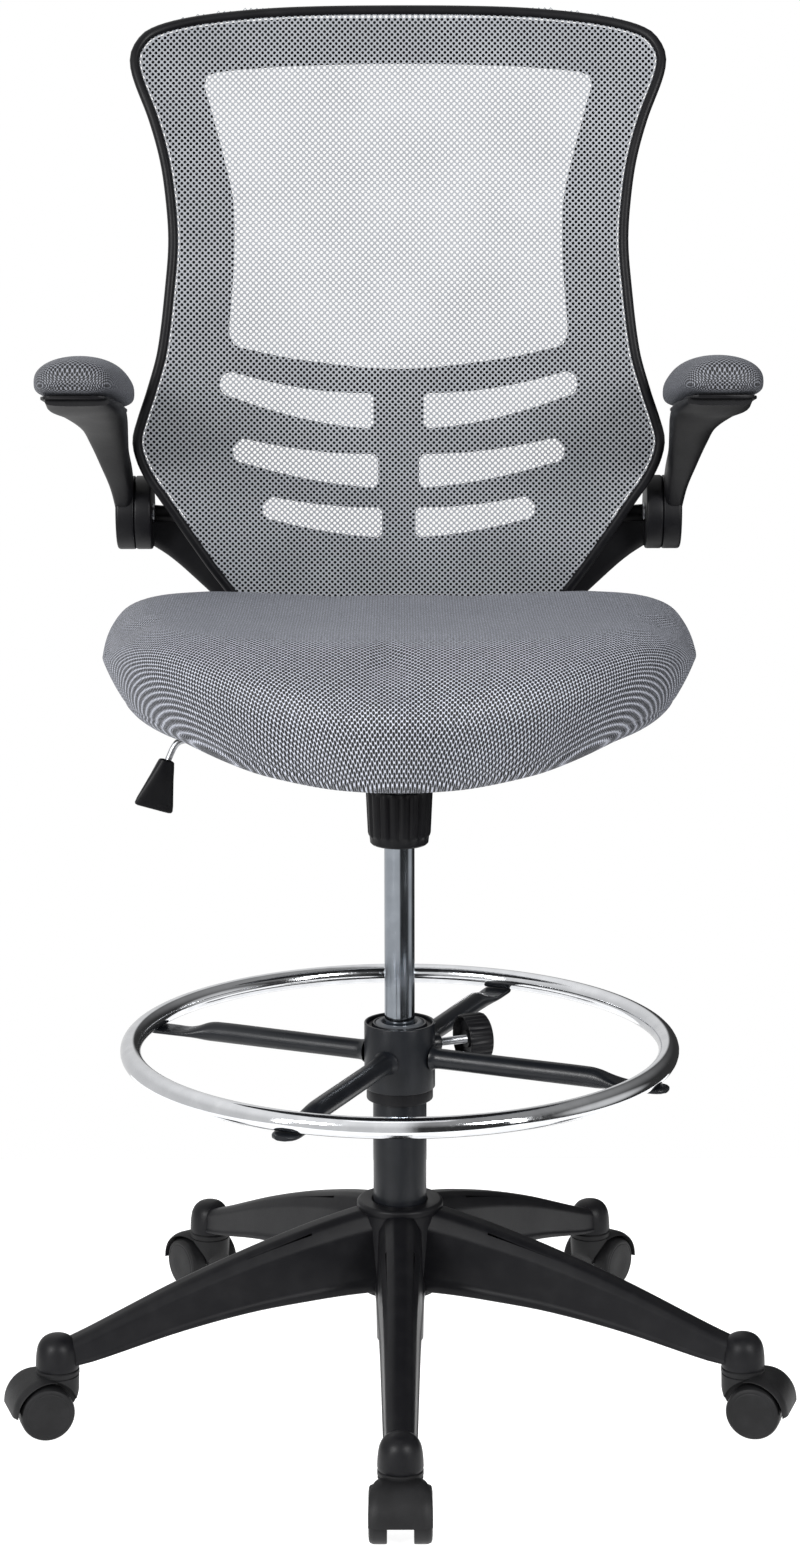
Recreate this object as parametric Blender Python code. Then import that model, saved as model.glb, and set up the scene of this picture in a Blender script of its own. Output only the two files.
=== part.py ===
"""Drafting chair: swivelling high seat with a mesh back, flip-up arms, foot ring and five twin-wheel casters.

Metres, +Z up. Everything is laid out about the column axis, with the sitter facing -Y, and with heights from a
datum DATUM_Z below the floor. The whole chair is then moved by COLUMN_Y and DATUM_Z, which centres its bounding
box on the origin and stands it on z = 0.
"""

import math

import bmesh
import bpy
from mathutils import Matrix, Vector

COLUMN_Y = 0.0292
DATUM_Z = -0.0065
GAP = 0.0003
SHAFT_GAP = 0.0004

# Star base
LEG_ANGLES = (-90, -18, 54, 126, 198)
STEM_CIRCLE = 0.331
HUB_TOP = 0.194
HUB_BOTTOM = 0.1065
HUB_TOP_RADIUS = 0.0405
HUB_BOTTOM_RADIUS = 0.036
LEG_STATIONS = (
    # distance from the axis, half width, top, bottom
    (0.020, 0.0215, 0.190, 0.1120),
    (0.045, 0.0215, 0.187, 0.1120),
    (0.090, 0.0205, 0.177, 0.1100),
    (0.150, 0.0180, 0.159, 0.1045),
    (0.220, 0.0162, 0.134, 0.0925),
    (0.300, 0.0142, 0.1010, 0.0735),
    (0.325, 0.0135, 0.0915, 0.0700),
)
LEG_WALL = 0.0035
SOCKET_BOTTOM = 0.067
SOCKET_TOP = 0.099
SOCKET_RADIUS = 0.020

# Casters: each one trails outward along its leg
TRAIL = 0.015
WHEEL_FLAT_RADIUS = 0.025
AXLE_Z = WHEEL_FLAT_RADIUS - DATUM_Z
WHEEL_SIDES = 16
WHEEL_RADIUS = WHEEL_FLAT_RADIUS / math.cos(math.pi / WHEEL_SIDES)
WHEEL_INNER = 0.0115
WHEEL_OUTER = 0.0275
AXLE_RADIUS = 0.003
STEM_RADIUS = 0.0055
STEM_BOTTOM = 0.046
STEM_TOP = SOCKET_TOP - 0.008
WEB_HALF = 0.0105
HOOD_RADIUS = 0.032
HOOD_WALL = 0.004
NECK_RADIUS = 0.020
HOOD_TOP = 0.0665
HOOD_ARC = (
    # angle up from the trailing end, half width of the cover there
    (0, 0.0275),
    (22, 0.0275),
    (44, 0.0272),
    (62, 0.0262),
    (78, 0.0242),
    (94, 0.0218),
    (112, 0.0190),
)

# Column and gas lift
TUBE_RADIUS = 0.025
TUBE_TAPER_RADIUS = 0.022
TUBE_BOTTOM = 0.055
TUBE_TOP = 0.366
TUBE_WALL = 0.002
CYLINDER_RADIUS = 0.014
CYLINDER_BOTTOM = 0.295
CYLINDER_TOP = 0.624
PISTON_ROD_RADIUS = 0.005

# Foot ring
RING_Z = 0.344
RING_RADIUS = 0.250
RING_TUBE = 0.0095
RING_STEPS = 40
COLLAR_RADIUS = 0.033
COLLAR_BOTTOM = 0.3043
COLLAR_TOP = 0.3665
BUSH_BOTTOM = 0.293
BUSH_RADIUS = 0.0302
SPOKE_ANGLES = (-23, 67, 157, 247)
SPOKE_Z = 0.335
CLAMP_ANGLE = 22
CLAMP_Z = 0.342
CLAMP_INNER = 0.063
CLAMP_OUTER = 0.087
CLAMP_RADIUS = 0.0235

# Tilt mechanism under the seat
SHAFT_Y = -0.038
SHAFT_Z = 0.634
SHAFT_RADIUS = 0.006
HOUSING_HALF_WIDTH = 0.062
HOUSING_FRONT = -0.105
HOUSING_REAR = 0.045
HOUSING_BOTTOM = 0.616
HOUSING_TOP = 0.649
SHEET = 0.003
PLATE_BOTTOM = 0.652
PLATE_TOP = 0.656
BOLT_Y = -0.075
BOLT_RADIUS = 0.004
KNOB_BOTTOM = 0.554
KNOB_TOP = 0.605
KNOB_RADIUS = 0.030
KNOB_RIBS = 18

# Lever
LEVER_Z = 0.634
LEVER_FULCRUM_X = -0.050
LEVER_Y = -0.005
LEVER_RADIUS = 0.003
BUTTON_TOP = 0.6297

# Seat
SEAT_FRONT = -0.272
SEAT_REAR = 0.195
SEAT_HALF_WIDTH = 0.271
SEAT_PLAN = (
    # y, half width of the seat in plan
    (SEAT_FRONT, 0.0),
    (-0.267, 0.054),
    (-0.254, 0.095),
    (-0.228, 0.144),
    (-0.180, 0.194),
    (-0.120, 0.232),
    (-0.050, 0.258),
    (0.030, SEAT_HALF_WIDTH),
    (0.110, 0.270),
    (0.158, 0.260),
    (0.183, 0.238),
    (0.194, 0.205),
    (SEAT_REAR, 0.160),
    (SEAT_REAR, 0.0),
)
LIP_SIDE = 0.658
LIP_FRONT = 0.625
CUSHION_RECESS_Z = 0.670
PAN_BOTTOM = 0.657
PAN_THICKNESS = 0.010
PAN_INSET = 0.036

# Back: half width and height of its outer edge, from the bottom up
BACK_OUTLINE = (
    (0.000, 0.698),
    (0.080, 0.699),
    (0.130, 0.705),
    (0.156, 0.720),
    (0.169, 0.738),
    (0.1835, 0.7586),
    (0.1968, 0.7792),
    (0.2131, 0.8046),
    (0.2292, 0.8298),
    (0.2416, 0.8489),
    (0.2501, 0.8687),
    (0.2530, 0.8873),
    (0.2481, 0.9068),
    (0.2385, 0.9349),
    (0.2279, 0.9727),
    (0.2198, 1.0373),
    (0.2174, 1.0739),
    (0.2200, 1.1117),
    (0.2256, 1.1477),
    (0.2363, 1.1849),
    (0.2510, 1.2223),
    (0.2545, 1.2401),
    (0.2509, 1.2540),
    (0.2385, 1.2680),
    (0.2091, 1.2780),
    (0.1624, 1.2851),
    (0.1000, 1.2896),
    (0.000, 1.2910),
)
BACK_PROFILE = (
    # height, distance behind the column axis
    (0.690, 0.226),
    (0.729, 0.222),
    (0.800, 0.207),
    (0.880, 0.197),
    (0.960, 0.196),
    (1.040, 0.206),
    (1.120, 0.226),
    (1.200, 0.252),
    (1.300, 0.291),
)
BACK_WRAP = 0.266
RIM_WIDTH = 0.0095
RIM_DEPTH = 0.014
SHELL_INSET = 0.0107
SHELL_THICKNESS = 0.004
MESH_THICKNESS = 0.0014
BACK_WINDOW = (
    (0.000, 1.2360),
    (0.090, 1.2345),
    (0.160, 1.2300),
    (0.179, 1.2265),
    (0.1842, 1.2200),
    (0.1795, 1.2010),
    (0.1670, 1.1560),
    (0.1567, 1.1112),
    (0.1552, 1.0656),
    (0.1575, 1.0250),
    (0.1603, 0.9860),
    (0.1560, 0.9760),
    (0.1418, 0.9715),
    (0.0900, 0.9610),
    (0.000, 0.9525),
)
BACK_SLOTS = (
    # inner end x, outer end x, low and high at the inner end, centre height at the outer end, half height there
    (0.0240, 0.1700, 0.8956, 0.9300, 0.9386, 0.0120),
    (0.0196, 0.1584, 0.8383, 0.8715, 0.8748, 0.0120),
    (0.0162, 0.1309, 0.7890, 0.8192, 0.8183, 0.0115),
)

# Arms
PIVOT_Y = 0.232
PIVOT_Z = 0.8115
KNUCKLE_RADIUS = 0.0355
KNUCKLE_INNER = 0.238
KNUCKLE_OUTER = 0.2545
ARM_OUTER = 0.272
PAD_CENTRE_X = 0.286
PAD_HALF_WIDTH = 0.040
PAD_FRONT = -0.060
PAD_REAR = 0.190
PAD_FRONT_BOTTOM = 0.955
PAD_REAR_BOTTOM = 0.915
PAD_THICKNESS = 0.041

COLOURS = {
    "black_nylon": (0.018, 0.018, 0.020),
    "black_paint": (0.022, 0.023, 0.025),
    "blue_steel": (0.30, 0.36, 0.42),
    "chrome": (0.80, 0.80, 0.82),
    "zinc_steel": (0.55, 0.56, 0.58),
    "grey_nylon": (0.10, 0.11, 0.12),
    "seat_fabric": (0.075, 0.085, 0.10),
    "back_fabric": (0.10, 0.12, 0.145),
    "pad_fabric": (0.075, 0.085, 0.10),
}
METALS = ("blue_steel", "chrome", "zinc_steel")


def material(name):
    found = bpy.data.materials.get(name)
    if found:
        return found
    found = bpy.data.materials.new(name)
    found.use_nodes = True
    surface = found.node_tree.nodes["Principled BSDF"]
    surface.inputs["Base Color"].default_value = (*COLOURS[name], 1.0)
    surface.inputs["Metallic"].default_value = 1.0 if name in METALS else 0.0
    surface.inputs["Roughness"].default_value = 0.25 if name in METALS else 0.55
    return found


def skin(rings, closed=False):
    """Points and faces of a tube through rings of points. A ring of one point is a pole, and open ends are capped."""
    points = []
    starts = []
    for ring in rings:
        starts.append(len(points))
        points.extend(ring)
    faces = []
    pairs = list(zip(range(len(rings)), range(1, len(rings))))
    if closed:
        pairs.append((len(rings) - 1, 0))
    for low, high in pairs:
        count = max(len(rings[low]), len(rings[high]))
        for step in range(count):
            after = (step + 1) % count
            corners = []
            for ring, places in ((low, (step, after)), (high, (after, step))):
                if len(rings[ring]) == 1:
                    corners.append(starts[ring])
                else:
                    corners.extend(starts[ring] + place for place in places)
            faces.append(corners)
    if not closed:
        for ring in (0, len(rings) - 1):
            if len(rings[ring]) > 1:
                faces.append([starts[ring] + place for place in range(len(rings[ring]))])
    return points, faces


def solid(name, rings, slot, closed=False, pivot=(0.0, 0.0, 0.0), sharp=35):
    """An object skinned through rings given about the column axis, with its origin at the pivot."""
    points, faces = skin(rings, closed)
    pivot = Vector(pivot)
    mesh = bpy.data.meshes.new(name)
    mesh.from_pydata([Vector(point) - pivot for point in points], [], faces)
    body = bmesh.new()
    body.from_mesh(mesh)
    bmesh.ops.connect_verts_nonplanar(body, angle_limit=math.radians(0.5), faces=body.faces)
    bmesh.ops.recalc_face_normals(body, faces=body.faces)
    body.to_mesh(mesh)
    body.free()
    mesh.materials.append(material(slot))
    mesh.shade_smooth()
    mesh.set_sharp_from_angle(angle=math.radians(sharp))
    made = bpy.data.objects.new(name, mesh)
    made.location = pivot + Vector((0.0, COLUMN_Y, DATUM_Z))
    bpy.context.scene.collection.objects.link(made)
    return made


def combine(target, tools, operation, sharp=35):
    """Joins the tools to the target, or cuts them out of it, and removes them."""
    for tool in tools:
        step = target.modifiers.new("step", "BOOLEAN")
        step.object = tool
        step.operation = operation
        step.solver = "EXACT"
        graph = bpy.context.evaluated_depsgraph_get()
        result = bpy.data.meshes.new_from_object(target.evaluated_get(graph))
        target.modifiers.clear()
        target.data = result
        bpy.data.objects.remove(tool)
    target.data.shade_smooth()
    target.data.set_sharp_from_angle(angle=math.radians(sharp))
    return target


def join(target, *tools):
    return combine(target, tools, "UNION")


def cut(target, *tools):
    return combine(target, tools, "DIFFERENCE")


def about(origin, axis=(0.0, 0.0, 1.0), turn=0.0):
    """Matrix that takes local +Z to the axis at the origin."""
    aim = Vector(axis).normalized().to_track_quat("Z", "Y").to_matrix().to_4x4()
    return Matrix.Translation(origin) @ aim @ Matrix.Rotation(math.radians(turn), 4, "Z")


def turned(profile, place=None, sides=24, half_step=False):
    """Rings of a lathe profile of (radius, height) pairs about local +Z."""
    place = place or Matrix()
    offset = math.pi / sides if half_step else 0.0
    rings = []
    for radius, height in profile:
        if radius == 0:
            rings.append([place @ Vector((0.0, 0.0, height))])
            continue
        ring = []
        for step in range(sides):
            angle = 2 * math.pi * step / sides + offset
            ring.append(place @ Vector((radius * math.cos(angle), radius * math.sin(angle), height)))
        rings.append(ring)
    return rings


def pipe(outer, inner, low, high, place=None, sides=24):
    """Rings of a plain tube, to be skinned as a closed loop."""
    return turned(((outer, low), (outer, high), (inner, high), (inner, low)), place, sides)


def box(name, low, high, place=None, slot="black_nylon"):
    place = place or Matrix()
    rings = []
    for z in (low[2], high[2]):
        corners = ((low[0], low[1]), (high[0], low[1]), (high[0], high[1]), (low[0], high[1]))
        rings.append([place @ Vector((x, y, z)) for x, y in corners])
    return solid(name, rings, slot)


def prism(name, outline, low, high, place=None, slot="black_nylon"):
    """A polygon in local X and Y, extruded along local Z."""
    place = place or Matrix()
    rings = [[place @ Vector((x, y, z)) for x, y in outline] for z in (low, high)]
    return solid(name, rings, slot)


def swept(path, section, up=(0.0, 0.0, 1.0), closed=False):
    """Rings of a section carried along a path. section(index) gives (sideways, upward) pairs."""
    rings = []
    last = len(path) - 1
    for index, point in enumerate(path):
        before = path[index - 1] if closed or index > 0 else point
        after = path[(index + 1) % len(path)] if closed or index < last else point
        along = (Vector(after) - Vector(before)).normalized()
        side = along.cross(Vector(up)).normalized()
        lift = side.cross(along)
        rings.append([Vector(point) + side * a + lift * b for a, b in section(index)])
    return rings


def oval(half_width, half_height, sides=12, power=1.0):
    """A superellipse: power 1 is an ellipse, and smaller values are squarer."""
    outline = []
    for step in range(sides):
        angle = 2 * math.pi * (step + 0.5) / sides
        across = math.copysign(abs(math.cos(angle)) ** power, math.cos(angle))
        upward = math.copysign(abs(math.sin(angle)) ** power, math.sin(angle))
        outline.append((half_width * across, half_height * upward))
    return outline


def blend(table, value):
    """Piecewise-cubic value of a table of (key, value) pairs at a key."""
    for index in range(len(table) - 1):
        (x0, y0), (x1, y1) = table[index], table[index + 1]
        if value <= x1 or index == len(table) - 2:
            break
    before = table[max(index - 1, 0)]
    after = table[min(index + 2, len(table) - 1)]
    span = x1 - x0
    slope0 = (y1 - before[1]) / (x1 - before[0]) * span
    slope1 = (after[1] - y0) / (after[0] - x0) * span
    t = (value - x0) / span
    return (
        y0 * (2 * t**3 - 3 * t**2 + 1)
        + slope0 * (t**3 - 2 * t**2 + t)
        + y1 * (3 * t**2 - 2 * t**3)
        + slope1 * (t**3 - t**2)
    )


def mirrored(half):
    """A closed outline from its right half, which runs from the bottom centre to the top centre."""
    return list(half) + [(-x, z) for x, z in reversed(half[1:-1])]


def inset(outline, distance):
    """A closed outline, given anticlockwise, moved inward by a distance."""
    moved = []
    for index, (x, z) in enumerate(outline):
        before = Vector(outline[index - 1])
        after = Vector(outline[(index + 1) % len(outline)])
        along = (after - before).normalized()
        moved.append((x - along.y * distance, z + along.x * distance))
    return moved


def spin(angle):
    return Matrix.Rotation(math.radians(angle), 4, "Z")


# ---------------------------------------------------------------- base


def leg_ring(station, place, inner=0.0):
    """One cross-section of a leg, with its upper corners rounded off, or of the open pocket inside it."""
    distance, half_width, top, bottom = station
    half_width -= inner
    top -= inner
    bottom -= 3 * inner
    shoulder = 0.35 * (top - bottom)
    corners = (
        (-half_width * 0.96, bottom),
        (half_width * 0.96, bottom),
        (half_width, top - shoulder),
        (half_width * 0.80, top - shoulder * 0.25),
        (half_width * 0.35, top),
        (-half_width * 0.35, top),
        (-half_width * 0.80, top - shoulder * 0.25),
        (-half_width, top - shoulder),
    )
    return [place @ Vector((distance, y, z)) for y, z in corners]


def star_base():
    hub = solid(
        "star_base",
        turned(
            (
                (0.0, HUB_BOTTOM),
                (HUB_BOTTOM_RADIUS, HUB_BOTTOM),
                (HUB_TOP_RADIUS, HUB_TOP - 0.004),
                (HUB_TOP_RADIUS - 0.003, HUB_TOP),
                (0.0, HUB_TOP),
            ),
            sides=24,
        ),
        "black_nylon",
    )
    for angle in LEG_ANGLES:
        place = spin(angle)
        seat = place @ Matrix.Translation((STEM_CIRCLE, 0.0, 0.0))
        leg = solid("leg", [leg_ring(station, place) for station in LEG_STATIONS], "black_nylon")
        pocket = solid("pocket", [leg_ring(station, place, LEG_WALL) for station in LEG_STATIONS[2:6]], "black_nylon")
        socket = solid(
            "socket",
            turned(
                (
                    (0.0, SOCKET_BOTTOM),
                    (SOCKET_RADIUS, SOCKET_BOTTOM),
                    (SOCKET_RADIUS, SOCKET_BOTTOM + 0.007),
                    (SOCKET_RADIUS - 0.002, SOCKET_TOP - 0.010),
                    (SOCKET_RADIUS - 0.007, SOCKET_TOP - 0.003),
                    (0.0, SOCKET_TOP),
                ),
                seat,
                sides=16,
            ),
            "black_nylon",
        )
        stem_hole = (
            (0.0, SOCKET_BOTTOM - 0.010),
            (STEM_RADIUS + GAP, SOCKET_BOTTOM - 0.010),
            (STEM_RADIUS + GAP, SOCKET_TOP - 0.006),
            (0.0, SOCKET_TOP - 0.006),
        )
        cut(leg, pocket)
        join(leg, socket)
        cut(leg, solid("stem_hole", turned(stem_hole, seat, sides=10), "black_nylon"))
        join(hub, leg)
    bore = (
        (0.0, HUB_BOTTOM - 0.020),
        (tube_radius_at(HUB_BOTTOM - 0.020) + GAP, HUB_BOTTOM - 0.020),
        (TUBE_RADIUS + GAP, HUB_TOP),
        (TUBE_RADIUS + GAP, HUB_TOP + 0.010),
        (0.0, HUB_TOP + 0.010),
    )
    cut(hub, solid("bore", turned(bore, sides=24), "black_nylon"))


def tube_radius_at(z):
    """The column tube narrows below the top of the hub."""
    if z >= HUB_TOP:
        return TUBE_RADIUS
    share = (z - TUBE_BOTTOM) / (HUB_TOP - TUBE_BOTTOM)
    return TUBE_TAPER_RADIUS + (TUBE_RADIUS - TUBE_TAPER_RADIUS) * share


def column():
    inner = TUBE_TAPER_RADIUS - TUBE_WALL
    wide = TUBE_RADIUS - TUBE_WALL
    outline = (
        (PISTON_ROD_RADIUS + SHAFT_GAP, TUBE_BOTTOM),
        (TUBE_TAPER_RADIUS, TUBE_BOTTOM),
        (TUBE_RADIUS, HUB_TOP),
        (TUBE_RADIUS, TUBE_TOP),
        (wide, TUBE_TOP),
        (wide, HUB_TOP),
        (inner, TUBE_BOTTOM + 0.003),
        (PISTON_ROD_RADIUS + SHAFT_GAP, TUBE_BOTTOM + 0.003),
    )
    solid("column_tube", turned(outline, sides=24), "black_paint", closed=True)
    bore = CYLINDER_RADIUS + SHAFT_GAP
    bush = (
        (wide - GAP, CYLINDER_BOTTOM - 0.012),
        (wide - GAP, TUBE_TOP - 0.0005),
        (0.0200, TUBE_TOP - 0.0005),
        (0.0195, TUBE_TOP + 0.0010),
        (0.0170, TUBE_TOP + 0.0010),
        (bore + 0.0005, TUBE_TOP - 0.0010),
        (bore, TUBE_TOP - 0.0030),
        (bore, CYLINDER_BOTTOM - 0.012),
    )
    solid("guide_bush", turned(bush, sides=20), "grey_nylon", closed=True)
    solid(
        "retaining_clip",
        pipe(0.009, PISTON_ROD_RADIUS + GAP, TUBE_BOTTOM - 0.0024, TUBE_BOTTOM - 0.0008, sides=16),
        "zinc_steel",
        closed=True,
    )
    solid(
        "thrust_bearing",
        pipe(0.0145, PISTON_ROD_RADIUS + GAP, TUBE_BOTTOM + 0.0036, TUBE_BOTTOM + 0.009, sides=20),
        "zinc_steel",
        closed=True,
    )
    rod = (
        (0.0, TUBE_BOTTOM - 0.004),
        (PISTON_ROD_RADIUS, TUBE_BOTTOM - 0.004),
        (PISTON_ROD_RADIUS, TUBE_BOTTOM + 0.0093),
        (PISTON_ROD_RADIUS + 0.0015, TUBE_BOTTOM + 0.0093),
        (PISTON_ROD_RADIUS + 0.0015, TUBE_BOTTOM + 0.014),
        (PISTON_ROD_RADIUS, TUBE_BOTTOM + 0.014),
        (PISTON_ROD_RADIUS, CYLINDER_BOTTOM + 0.070),
        (0.0, CYLINDER_BOTTOM + 0.070),
    )
    solid("piston_rod", turned(rod, sides=16), "zinc_steel")
    rod_bore = PISTON_ROD_RADIUS + SHAFT_GAP
    chamber = CYLINDER_BOTTOM + 0.010
    cylinder = (
        (0.0, CYLINDER_TOP - 0.010),
        (0.0046, CYLINDER_TOP - 0.010),
        (0.0046, CYLINDER_TOP),
        (CYLINDER_RADIUS - 0.0012, CYLINDER_TOP),
        (CYLINDER_RADIUS, CYLINDER_TOP - 0.030),
        (CYLINDER_RADIUS, CYLINDER_BOTTOM + 0.002),
        (CYLINDER_RADIUS - 0.002, CYLINDER_BOTTOM),
        (rod_bore, CYLINDER_BOTTOM),
        (rod_bore, chamber),
        (CYLINDER_RADIUS - 0.002, chamber),
        (CYLINDER_RADIUS - 0.002, CYLINDER_TOP - 0.040),
        (0.0, CYLINDER_TOP - 0.040),
    )
    solid("gas_cylinder", turned(cylinder, sides=20), "blue_steel", pivot=(0.0, 0.0, CYLINDER_BOTTOM))
    button = (
        (0.0, CYLINDER_TOP - 0.0045),
        (0.0041, CYLINDER_TOP - 0.0045),
        (0.0041, BUTTON_TOP - 0.001),
        (0.0033, BUTTON_TOP),
        (0.0, BUTTON_TOP),
    )
    solid("release_button", turned(button, sides=12), "zinc_steel", pivot=(0.0, 0.0, BUTTON_TOP))


# ---------------------------------------------------------------- casters


def cover_rings(place):
    """Rings of the curved cover over the wheels. It narrows with rounded shoulders as it rises to the neck."""
    rings = []
    for angle, half in HOOD_ARC:
        turn = math.radians(angle)
        ring = []
        for radius, offset in (
            (HOOD_RADIUS - HOOD_WALL, -half),
            (HOOD_RADIUS - HOOD_WALL + 0.001, -half),
            (HOOD_RADIUS, -half + 0.006),
            (HOOD_RADIUS, half - 0.006),
            (HOOD_RADIUS - HOOD_WALL + 0.001, half),
            (HOOD_RADIUS - HOOD_WALL, half),
        ):
            ring.append(place @ Vector((TRAIL + radius * math.cos(turn), AXLE_Z + radius * math.sin(turn), offset)))
        rings.append(ring)
    return rings


def web_outline():
    """Side view of the plate between the two wheels, from the axle boss up into the hood."""
    inner = HOOD_RADIUS - 0.0015
    outline = []
    for angle in range(0, 126, 25):
        turn = math.radians(angle)
        outline.append((TRAIL + inner * math.cos(turn), AXLE_Z + inner * math.sin(turn)))
    outline += [(-NECK_RADIUS + 0.004, AXLE_Z + 0.018), (-NECK_RADIUS + 0.007, AXLE_Z + 0.006)]
    for angle in range(210, 331, 30):
        turn = math.radians(angle)
        outline.append((TRAIL + 0.009 * math.cos(turn), AXLE_Z + 0.009 * math.sin(turn)))
    return outline


def caster(number, angle):
    place = spin(angle)
    stem_centre = place @ Vector((STEM_CIRCLE, 0.0, 0.0))
    stand = place @ Matrix.Translation((STEM_CIRCLE, 0.0, 0.0))
    side_view = stand @ Matrix.Rotation(math.radians(90), 4, "X")
    axle_place = side_view @ Matrix.Translation((TRAIL, AXLE_Z, 0.0))
    swivel = (*stem_centre.xy, 0.0)
    stem = ((0.0, STEM_BOTTOM), (STEM_RADIUS, STEM_BOTTOM), (STEM_RADIUS, STEM_TOP), (0.0, STEM_TOP))
    solid(f"caster_stem_{number}", turned(stem, stand, sides=10), "zinc_steel", pivot=swivel)
    neck = solid(
        f"caster_hood_{number}",
        turned(((0.0, AXLE_Z + 0.003), (NECK_RADIUS - 0.001, AXLE_Z + 0.003), (NECK_RADIUS, HOOD_TOP - 0.003),
                (NECK_RADIUS - 0.0015, HOOD_TOP), (0.0, HOOD_TOP)), stand, sides=16),
        "black_nylon",
    )
    slope = ((-0.030, AXLE_Z + 0.023), (-0.0195, AXLE_Z + 0.017), (-0.0120, AXLE_Z + 0.0035), (0.030, AXLE_Z + 0.0035),
             (0.030, AXLE_Z - 0.010), (-0.030, AXLE_Z - 0.010))
    cut(neck, prism("slope", slope, -0.030, 0.030, side_view))
    for side in (-1, 1):
        low, high = sorted((side * (WEB_HALF + 0.0004), side * 0.030))
        reach = HOOD_RADIUS - 0.0018
        space = turned(((0.0, low), (reach, low), (reach, high), (0.0, high)), axle_place, sides=20)
        cut(neck, solid("wheel_space", space, "black_nylon"))
    axle = ((0.0, 0.005 - WHEEL_OUTER), (AXLE_RADIUS, 0.005 - WHEEL_OUTER), (AXLE_RADIUS, WHEEL_OUTER - 0.005),
            (0.0, WHEEL_OUTER - 0.005))
    hood = join(
        neck,
        solid("cover", cover_rings(side_view), "black_nylon"),
        prism("web", web_outline(), -WEB_HALF, WEB_HALF, side_view),
        solid("axle", turned(axle, axle_place, sides=8), "black_nylon"),
    )
    stem_hole = ((0.0, STEM_BOTTOM - GAP), (STEM_RADIUS + GAP, STEM_BOTTOM - GAP), (STEM_RADIUS + GAP, 0.080),
                 (0.0, 0.080))
    cut(hood, solid("stem_hole", turned(stem_hole, stand, sides=10), "black_nylon"))
    move_origin(hood, swivel)
    wheel = (
        (0.0, WHEEL_OUTER - 0.003),
        (AXLE_RADIUS + SHAFT_GAP, WHEEL_OUTER - 0.003),
        (AXLE_RADIUS + SHAFT_GAP, WHEEL_INNER),
        (WHEEL_RADIUS, WHEEL_INNER),
        (WHEEL_RADIUS, WHEEL_OUTER - 0.002),
        (WHEEL_RADIUS - 0.003, WHEEL_OUTER),
        (0.0, WHEEL_OUTER),
    )
    for label, turn in (("left", 0), ("right", 180)):
        wheel_place = axle_place @ Matrix.Rotation(math.radians(turn), 4, "X")
        solid(
            f"wheel_{label}_{number}",
            turned(wheel, wheel_place, sides=WHEEL_SIDES, half_step=True),
            "black_nylon",
            pivot=axle_place.translation,
        )


def move_origin(target, pivot):
    """Puts an object's origin on its joint axis without moving its shape."""
    shift = Vector(pivot) + Vector((0.0, COLUMN_Y, DATUM_Z)) - target.location
    target.data.transform(Matrix.Translation(-shift))
    target.location += shift


# ---------------------------------------------------------------- foot ring


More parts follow.
